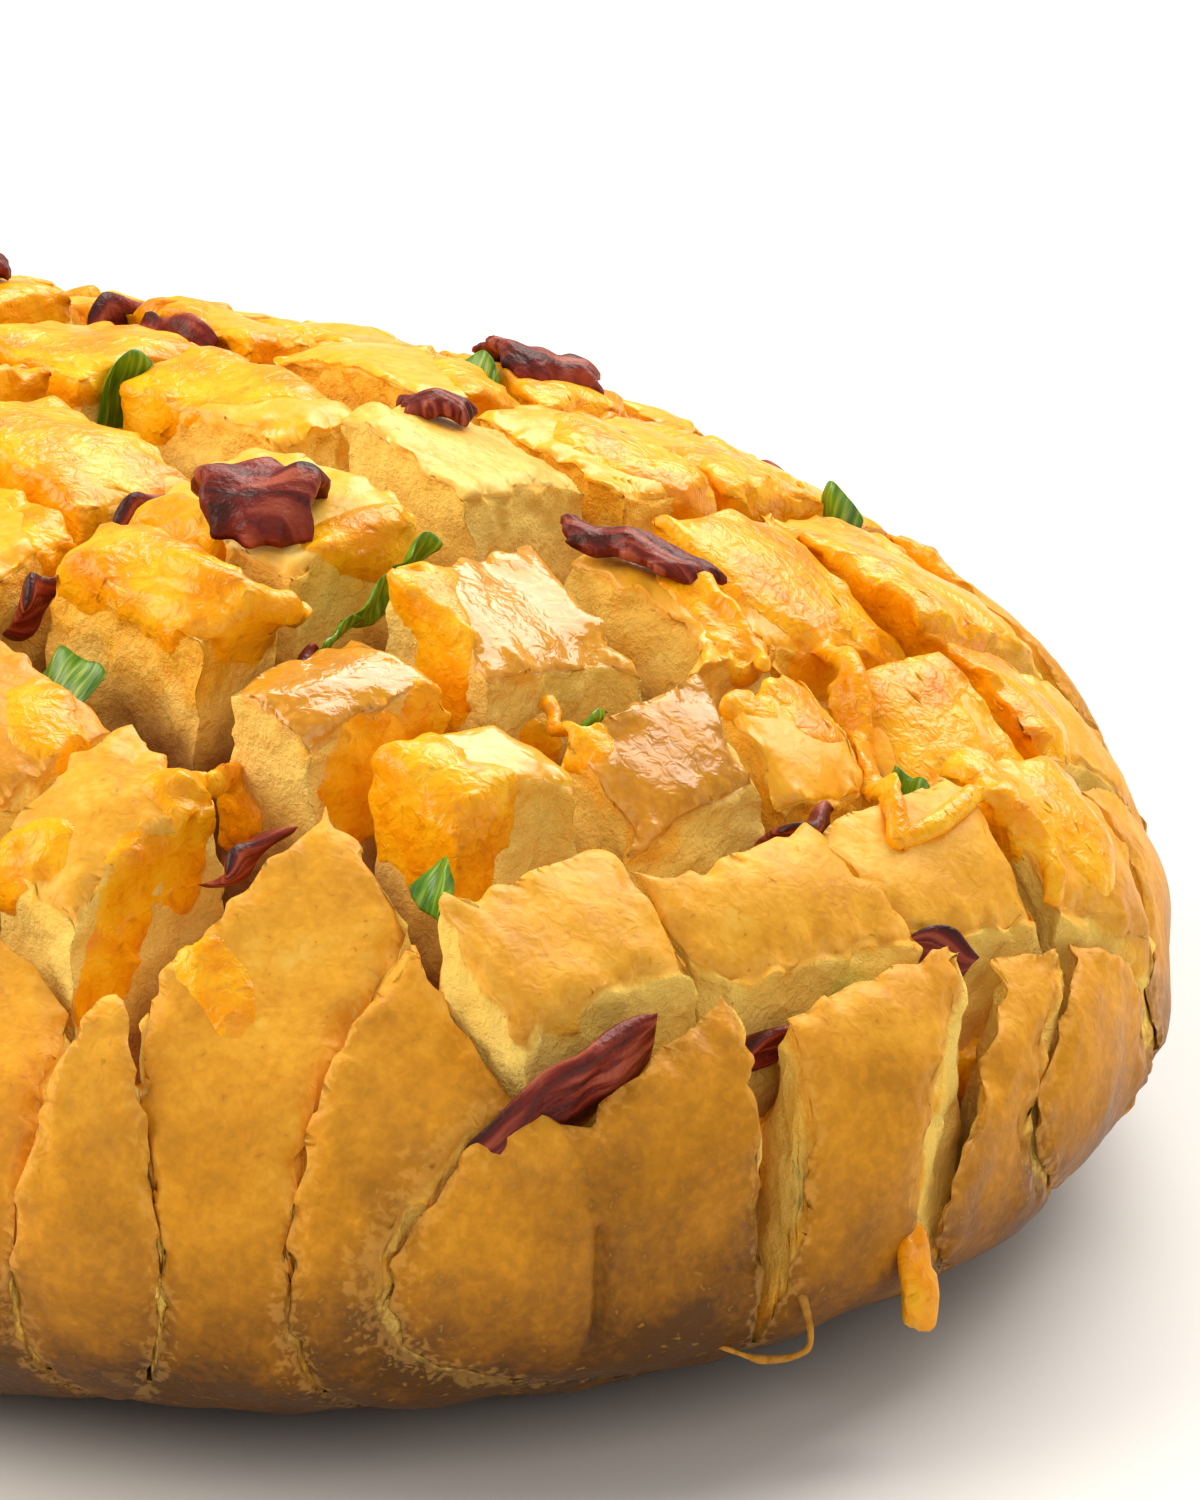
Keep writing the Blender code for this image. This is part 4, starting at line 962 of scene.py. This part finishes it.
# Mild cheddar, melted and set again: oily, so it is bright orange yellow with small sharp highlights, a deeper
# orange in clouds, and brown where it has fried.
cheddarLook = {
    "colours": ((0.25, "#E58600"), (0.42, "#F79F02"), (0.56, "#FFB70E"), (0.75, "#FFCB36")),
    "brown": "#C87408", "roughness": 0.26, "shine": 0.28, "cloudSize": 7, "grainSize": 1.5,
}


def makeCheddar():
    made, tree, shader = newMaterial("melted cheddar")
    where = addNode(tree, "ShaderNodeTexCoord").outputs["Object"]
    sockets = {"Vector": where, "Scale": perMetre(cheddarLook["cloudSize"]), "Detail": 4.0, "Roughness": 0.6}
    broad = addNode(tree, noiseNode, sockets)
    sockets = {"Vector": where, "Scale": perMetre(cheddarLook["grainSize"]), "Detail": 3.0, "Distortion": 0.6}
    fine = addNode(tree, noiseNode, sockets)
    colour = addNode(tree, "ShaderNodeValToRGB", (broad,), stops=cheddarLook["colours"])
    sockets = {"Value": fine, "From Min": 0.6, "From Max": 0.72, "To Max": 0.5}
    isFried = addNode(tree, rangeNode, sockets)
    mixed = addNode(tree, mixNode, {0: isFried, 6: colour, 7: cheddarLook["brown"]}, data_type="RGBA")
    tree.links.new(mixed.outputs[2], shader.inputs["Base Color"])
    bump = addNode(tree, "ShaderNodeBump", {"Height": fine, "Distance": 0.5 * mm, "Strength": 0.8})
    tree.links.new(bump.outputs["Normal"], shader.inputs["Normal"])
    shader.inputs["Roughness"].default_value = cheddarLook["roughness"]
    shader.inputs["Specular IOR Level"].default_value = cheddarLook["shine"]
    return made


def baked(points):  # points of the uncooked form moved as the bread beside them has risen
    places = Places(points)
    return settled(places, rumple(places))


print("melting the cheese")
cheddar = makeCheddar()
cheeseNodes = [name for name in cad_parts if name.startswith("cheese")]
farCheese, nearCheese = shareIslands(*meltCheese())
cheesePieces = {"cheese_coats_1": farCheese, "cheese_coats_2": nearCheese, "cheese_in_cuts": fillCuts()}
for name, (points, triangles) in cheesePieces.items():
    piece = meshObject(name, baked(points), triangles, cheddar)
    outward(piece)
    print(name, len(triangles))
    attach(piece, "root")
    nodes = ["cheese_fill"] if name == "cheese_in_cuts" else [n for n in cheeseNodes if n != "cheese_fill"]
    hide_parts(*nodes)


# Strips of bacon and slices of onion that stand in a cut: kind and number of the cut, from, to, depth under the
# crust, height over it.
baconInCuts = (
    ("cross", 0, -19.5, -9.0, 6.0, 1.5), ("cross", 0, -38.0, -31.0, 9.0, -1.5),
    ("cross", 1, -31.0, -24.0, 8.5, -3.3), ("cross", 2, -58.0, -49.5, 7.0, -2.2),
    ("cross", 4, -56.0, -33.5, 8.0, 1.5), ("cross", 4, -24.0, -10.0, 11.0, -6.8),
    ("cross", 3, -1.5, 8.0, 7.0, -1.5), ("long", 2, 122.0, 126.0, 5.0, -0.8),
    ("cross", 3, 17.0, 24.5, 14.0, -10.0), ("cross", -2, 33.0, 47.0, 11.0, 1.0),
    ("cross", -4, -18.0, -3.0, 9.0, 1.5), ("long", 3, -38.0, -22.0, 10.0, 1.0),
    ("long", 6, 10.0, 22.0, 8.0, 0.5),
)
onionInCuts = (
    ("cross", 1, -24.0, -16.5, 8.0, -4.2), ("cross", 1, -16.5, -8.5, 9.0, -3.4),
    ("cross", 1, -9.0, -4.0, 5.5, -0.8), ("cross", 2, -10.5, -4.5, 7.0, -4.1),
    ("long", 0, 98.5, 103.0, 4.5, 0.0), ("cross", 3, -2.0, 3.0, 10.5, -8.3),
    ("long", 0, 39.0, 47.0, 7.5, -3.5), ("long", 3, 100.0, 106.0, 6.0, 0.8),
    ("cross", 4, -9.5, -4.5, 8.0, -4.8), ("long", 4, 0.0, 7.0, 8.0, 1.0),
    ("cross", -1, 12.0, 19.0, 8.0, 2.0), ("cross", -3, 22.0, 29.0, 8.0, 2.0),
    ("long", 0, -50.0, -43.0, 8.0, 2.0), ("long", 5, 44.0, 51.0, 7.0, 2.0),
)
# Half the thickness, waviness, how far it may lean, points along and up, and its curl.
baconShape = {"half": 1.25, "wave": 0.9, "lean": 3.0, "along": 36, "up": 14, "curl": 0.6}
onionShape = {"half": 0.4, "wave": 0.5, "lean": 1.8, "along": 24, "up": 14, "curl": 0.9}


def raised(points):  # moved up in one piece by what the bread beside it has risen
    places = Places(points)
    return points + [0, 0, settleLift(*points.T, places.row, places.column).mean()]


def standingSlice(name, spec, shape, made):  # a wavy slice on edge in a cut
    kind, number, low, high, depth, proud = spec
    steps = np.linspace(0, 1, shape["along"]), np.linspace(0, 1, shape["up"])
    part, share = np.meshgrid(*steps, indexing="ij")
    seed = number * 3.7 + low
    along = low + (high - low) * part
    crust = crustHeight(*toPlan(kind, cutCentre(kind, number, along), along))
    ends = min(1.5, 0.25 * (depth + proud)) * (2 * part - 1) ** 4  # rounds the corners off
    waves = min(0.8, 0.12 * (depth + proud)) * np.sin(7 * part + number + low)
    top = crust + proud + waves - ends
    bottom = crust - depth + ends
    z = bottom + (top - bottom) * share
    lowWall, highWall = walls(kind, number, along, np.minimum(z, crust))
    lean = shape["curl"] * (2 * share - 1) + 0.3 * np.sin(5 * part + 3 * share + seed)
    lean = np.clip(lean, -1, 1)
    room = np.clip((highWall - lowWall) / 2 - shape["half"], 0, shape["lean"])
    middle = (lowWall + highWall) / 2 + lean * room
    flat = np.stack([part * (high - low), share * 8, np.full(part.shape, seed)], -1).reshape(-1, 3)
    middle = middle + noise(flat, 4.0)[:, 0].reshape(part.shape) * shape["wave"]
    swell = shape["half"] * (1 + 0.35 * noise(flat, 3.0, 5.0)[:, 1].reshape(part.shape))
    swell = swell * (1 - 0.85 * np.abs(2 * share - 1) ** 5) * (1 - 0.85 * np.abs(2 * part - 1) ** 9)
    sheets = []
    for side in (-1, 1):
        x, y = toPlan(kind, middle + side * swell, along)
        sheets.append(np.stack([x, y, z], -1).reshape(-1, 3))
    points = raised(np.concatenate(sheets))
    points += noise(points, 2.2, 8.0) * 0.18
    faces = plateFaces(*part.shape)
    attributes = {"alongSlice": np.tile(flat[:, 0], 2), "upSlice": np.tile(flat[:, 1], 2)}
    finishSlice(name, points, faces, attributes, made)


def finishSlice(name, points, faces, attributes, made):
    piece = meshObject("dressed_" + name, points, halves(faces), made, attributes)
    outward(piece)
    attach(piece, "root")
    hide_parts(name)


# Bacon that lies on the crust: x, y, heading, length, width, arch.
baconOnCrust = (
    (-9.5, -44.0, -38.0, 14.0, 13.0, 4.0), (26.5, -64.5, -60.0, 17.0, 5.0, 0.6),
    (25.0, -30.5, -38.0, 8.0, 4.5, 0.5), (-30.0, 33.0, 20.0, 15.0, 11.0, 2.0),
    (22.0, 62.0, 75.0, 17.0, 8.0, 1.4), (66.0, 2.0, -20.0, 13.0, 9.0, 1.4),
)
lyingShape = {"along": 34, "across": 20, "above": 1.4}


def lyingSlice(name, spec, made):  # a ragged slice that rests on the crust
    x0, y0, heading, length, width, arch = spec
    turn = math.radians(heading)
    steps = np.linspace(-0.5, 0.5, lyingShape["along"]), np.linspace(-0.5, 0.5, lyingShape["across"])
    across, deep = np.meshgrid(*steps, indexing="ij")
    ragged = 0.4 * np.sin(17 * deep + x0) + 0.4 * np.sin(21 * across + y0)
    side = across * length * (1 + 0.3 * deep) + ragged * np.abs(2 * across) ** 3
    deepWay = deep * width * (1 + 0.18 * np.cos(6 * across + y0)) + ragged * np.abs(2 * deep) ** 3
    x = x0 + side * math.cos(turn) - deepWay * math.sin(turn)
    y = y0 + side * math.sin(turn) + deepWay * math.cos(turn)
    flat = np.stack([side, deepWay, np.full(side.shape, x0)], -1).reshape(-1, 3)
    wave = (noise(flat, 5.0)[:, 0] * 1.2 + noise(flat, 2.0, 3.3)[:, 1] * 0.5).reshape(side.shape)
    rest = crustHeight(x, y) + lyingShape["above"] + arch * np.cos(math.pi * deep) ** 0.8
    rest = rest + np.maximum(wave, -0.6)
    thick = baconShape["half"] * (1 - 0.7 * np.abs(2 * deep) ** 10) * (1 - 0.7 * np.abs(2 * across) ** 12)
    points = np.concatenate([np.stack([x, y, rest + s * thick], -1).reshape(-1, 3) for s in (1, -1)])
    points = raised(points)
    points += noise(points, 2.2, 8.0) * 0.2
    attributes = {"alongSlice": np.tile(side.ravel(), 2), "upSlice": np.tile(deepWay.ravel() * 8 / width, 2)}
    finishSlice(name, points, plateFaces(*side.shape), attributes, made)


# Smoked streaky bacon, fried and then baked: lean that is dark red brown, with paler bands of fat along it and
# a low gloss from its own fat.
baconLook = {
    "lean": "#761C0D", "dark": "#3C0D06", "fat": "#A85038", "roughness": 0.45, "shine": 0.3,
    "bandLength": 0.12, "bands": 0.7, "grainSize": 0.9,
}


def makeBacon():
    made, tree, shader = newMaterial("fried streaky bacon")
    where = addNode(tree, "ShaderNodeTexCoord").outputs["Object"]
    along = addNode(tree, "ShaderNodeAttribute", attribute_name="alongSlice").outputs["Fac"]
    up = addNode(tree, "ShaderNodeAttribute", attribute_name="upSlice").outputs["Fac"]
    stretched = addNode(tree, mathsNode, (along, baconLook["bandLength"]), operation="MULTIPLY")
    streaks = addNode(tree, "ShaderNodeCombineXYZ", (stretched, up))
    sockets = {"Vector": streaks, "Scale": baconLook["bands"], "Detail": 4.0, "Distortion": 0.5}
    bands = addNode(tree, noiseNode, sockets)
    sockets = {"Vector": where, "Scale": perMetre(baconLook["grainSize"]), "Detail": 3.0}
    fine = addNode(tree, noiseNode, sockets)
    stops = ((0.36, baconLook["dark"]), (0.5, baconLook["lean"]), (0.62, baconLook["fat"]))
    colour = addNode(tree, "ShaderNodeValToRGB", (bands,), stops=stops)
    tree.links.new(colour.outputs["Color"], shader.inputs["Base Color"])
    bump = addNode(tree, "ShaderNodeBump", {"Height": fine, "Distance": 0.35 * mm, "Strength": 0.8})
    tree.links.new(bump.outputs["Normal"], shader.inputs["Normal"])
    shader.inputs["Roughness"].default_value = baconLook["roughness"]
    shader.inputs["Specular IOR Level"].default_value = baconLook["shine"]
    return made


# Green onion, cut across in rings and slanting pieces: smooth, waxy, with fine ribs along the leaf.
onionLook = {
    "dark": "#3E6A0A", "usual": "#5F9412", "pale": "#B4CC44", "roughness": 0.32, "ribs": 1.3, "ribLength": 0.1,
}


def makeOnion():
    made, tree, shader = newMaterial("green onion leaf")
    along = addNode(tree, "ShaderNodeAttribute", attribute_name="alongSlice").outputs["Fac"]
    up = addNode(tree, "ShaderNodeAttribute", attribute_name="upSlice").outputs["Fac"]
    stretched = addNode(tree, mathsNode, (up, onionLook["ribLength"]), operation="MULTIPLY")
    ribs = addNode(tree, "ShaderNodeCombineXYZ", (along, stretched))
    bands = addNode(tree, noiseNode, {"Vector": ribs, "Scale": onionLook["ribs"], "Detail": 2.0})
    stops = ((0.35, onionLook["dark"]), (0.52, onionLook["usual"]), (0.7, onionLook["pale"]))
    colour = addNode(tree, "ShaderNodeValToRGB", (bands,), stops=stops)
    tree.links.new(colour.outputs["Color"], shader.inputs["Base Color"])
    bump = addNode(tree, "ShaderNodeBump", {"Height": bands, "Distance": 0.3 * mm, "Strength": 0.8})
    tree.links.new(bump.outputs["Normal"], shader.inputs["Normal"])
    shader.inputs["Roughness"].default_value = onionLook["roughness"]
    return made


# A string of dough that was pulled out where the loaf was torn: points of the uncooked form.
doughStrings = {
    "paths": (
        ((-9.6, -134.8, 20.6), (-9.4, -136.4, 19.0), (-9.3, -137.1, 15.2), (-10.2, -136.6, 13.4),
         (-13.3, -134.7, 12.3), (-16.4, -132.3, 13.8), (-17.6, -130.4, 14.4)),
    ),
    "radius": 0.42, "steps": 48, "tone": 0.72, "sides": 12,
    "lumpSize": 2.5, "thinnest": 0.55, "thickest": 1.3,  # unevenness, as shares of the radius
}


def sweepTree():  # a round uneven string along each run of edges that comes in
    tree = bpy.data.node_groups.new("swept string", "GeometryNodeTree")
    kinds = {"Paths": "Geometry", "Radius": "Float", "Steps": "Int", "Tone": "Float", "Dough": "Material"}
    for name, kind in kinds.items():
        tree.interface.new_socket(name, in_out="INPUT", socket_type="NodeSocket" + kind)
    tree.interface.new_socket("Strings", in_out="OUTPUT", socket_type="NodeSocketGeometry")
    given = addNode(tree, "NodeGroupInput").outputs
    line = addNode(tree, "GeometryNodeMeshToCurve", {"Mesh": given["Paths"]})
    line = addNode(tree, "GeometryNodeCurveSplineType", {"Curve": line}, spline_type="CATMULL_ROM")
    line = addNode(tree, "GeometryNodeResampleCurve", {"Curve": line, "Count": given["Steps"]})
    uneven = addNode(tree, noiseNode, {"Scale": perMetre(doughStrings["lumpSize"]), "Detail": 1.0})
    sockets = {"Value": uneven, "From Min": 0.3, "From Max": 0.7,
               "To Min": doughStrings["thinnest"], "To Max": doughStrings["thickest"]}
    swell = addNode(tree, rangeNode, sockets)
    sockets = {"Resolution": doughStrings["sides"], "Radius": given["Radius"]}
    ring = addNode(tree, "GeometryNodeCurvePrimitiveCircle", sockets)
    sockets = {"Curve": line, "Profile Curve": ring, "Scale": swell, "Fill Caps": True}
    swept = addNode(tree, "GeometryNodeCurveToMesh", sockets)
    sockets = {"Geometry": swept, "Name": "tone", "Value": given["Tone"]}
    toned = addNode(tree, "GeometryNodeStoreNamedAttribute", sockets)
    real = addNode(tree, "GeometryNodeRealizeInstances", {"Geometry": toned})
    done = addNode(tree, "GeometryNodeSetMaterial", {"Geometry": real, "Material": given["Dough"]})
    addNode(tree, "NodeGroupOutput", {"Strings": done})
    return tree


def sweepStrings():
    points, edges = [], []
    for path in doughStrings["paths"]:
        edges += [(len(points) + i, len(points) + i + 1) for i in range(len(path) - 1)]
        points += list(baked(np.array(path, float)) * mm)
    mesh = bpy.data.meshes.new("dough_strings")
    mesh.from_pydata(points, edges, [])
    piece = bpy.data.objects.new("dough_strings", mesh)
    bpy.context.scene.collection.objects.link(piece)
    modifier = piece.modifiers.new("sweep", "NODES")
    modifier.node_group = sweepTree()
    values = {
        "Radius": doughStrings["radius"] * mm, "Steps": doughStrings["steps"],
        "Tone": doughStrings["tone"], "Dough": bread,
    }
    for socket in modifier.node_group.interface.items_tree:
        if socket.name in values:
            modifier[socket.identifier] = values[socket.name]
    takeResult(piece)
    piece.data.shade_smooth()
    outward(piece)
    print(piece.name, len(piece.data.polygons))
    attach(piece, "root")
    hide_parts("loaf")


print("strings of dough")
sweepStrings()
print("bacon and green onion")
bacon, onion = makeBacon(), makeOnion()
for number, spec in enumerate(baconInCuts, 1):
    standingSlice(f"bacon_strip_{number:02d}", spec, baconShape, bacon)
for number, spec in enumerate(baconOnCrust, 1):
    lyingSlice(f"bacon_piece_{number:02d}", spec, bacon)
for number, spec in enumerate(onionInCuts, 1):
    standingSlice(f"onion_slice_{number:02d}", spec, onionShape, onion)


print("stage, light and camera")
stageLook = {
    "floor": ((-4000, -4000), (4000, -4000), (4000, 6000), (-4000, 6000)),
    "board": "#E9E9EA", "roughness": 0.7, "room": "#F6F3EE", "roomLight": 0.36,
}


# Matt painted board: pale and even, with no reflection of the loaf.
def makeStage():
    corners = np.array([(x, y, 0) for x, y in stageLook["floor"]])
    floor = meshObject("floor", corners, np.array([[0, 1, 2, 3]]))
    made, tree, shader = newMaterial("matt pale board")
    shader.inputs["Base Color"].default_value = linear(stageLook["board"])
    shader.inputs["Roughness"].default_value = stageLook["roughness"]
    floor.data.materials.append(made)
    world = bpy.data.worlds.new("studio")
    world.use_nodes = True
    sky = world.node_tree.nodes["Background"].inputs
    sky["Color"].default_value = linear(stageLook["room"])
    sky["Strength"].default_value = stageLook["roomLight"]
    bpy.context.scene.world = world


view = {"azimuth": -38.4, "elevation": 21.2, "aim": (56.9, -20.0, 27.0), "distance": 750.0, "lens": 148.36}
azimuth, elevation = math.radians(view["azimuth"]), math.radians(view["elevation"])
level = Vector((math.sin(azimuth), -math.cos(azimuth), 0))  # from the loaf toward the camera, along the floor
back = level * math.cos(elevation) + Vector((0, 0, math.sin(elevation)))
right = Vector((math.cos(azimuth), math.sin(azimuth), 0))
aim = Vector(view["aim"]) * mm
# Each lamp's place from the aim, in metres to the right, toward the camera and up, its size, power and colour.
lamps = {
    "window": (0.45, -0.75, 0.95, (1.2, 0.8), 22, "#FFF9F0"),
    "front": (0.35, 1.1, 0.95, (1.2, 0.9), 5, "#FFF6E8"),
    "fill": (-1.1, 0.0, 0.75, (1.0, 1.0), 17, "#FFF4E2"),
}


def addLight(name, toRight, toCamera, up, size, watts, colour):
    lamp = bpy.data.lights.new(name, "AREA")
    lamp.shape = "RECTANGLE"
    lamp.size, lamp.size_y = size
    lamp.energy = watts
    lamp.color = linear(colour)[:3]
    thing = bpy.data.objects.new(name, lamp)
    thing.location = aim + right * toRight + level * toCamera + Vector((0, 0, up))
    thing.rotation_euler = (thing.location - aim).to_track_quat("Z", "Y").to_euler()
    bpy.context.scene.collection.objects.link(thing)


makeStage()
for name, lamp in lamps.items():
    addLight(name, *lamp)
lens = bpy.data.cameras.new("camera")
lens.lens = view["lens"]
camera = bpy.data.objects.new("camera", lens)
camera.location = aim + back * view["distance"] * mm
camera.rotation_euler = back.to_track_quat("Z", "Y").to_euler()
bpy.context.scene.collection.objects.link(camera)
bpy.context.scene.camera = camera
bpy.context.scene.view_settings.view_transform = "Standard"
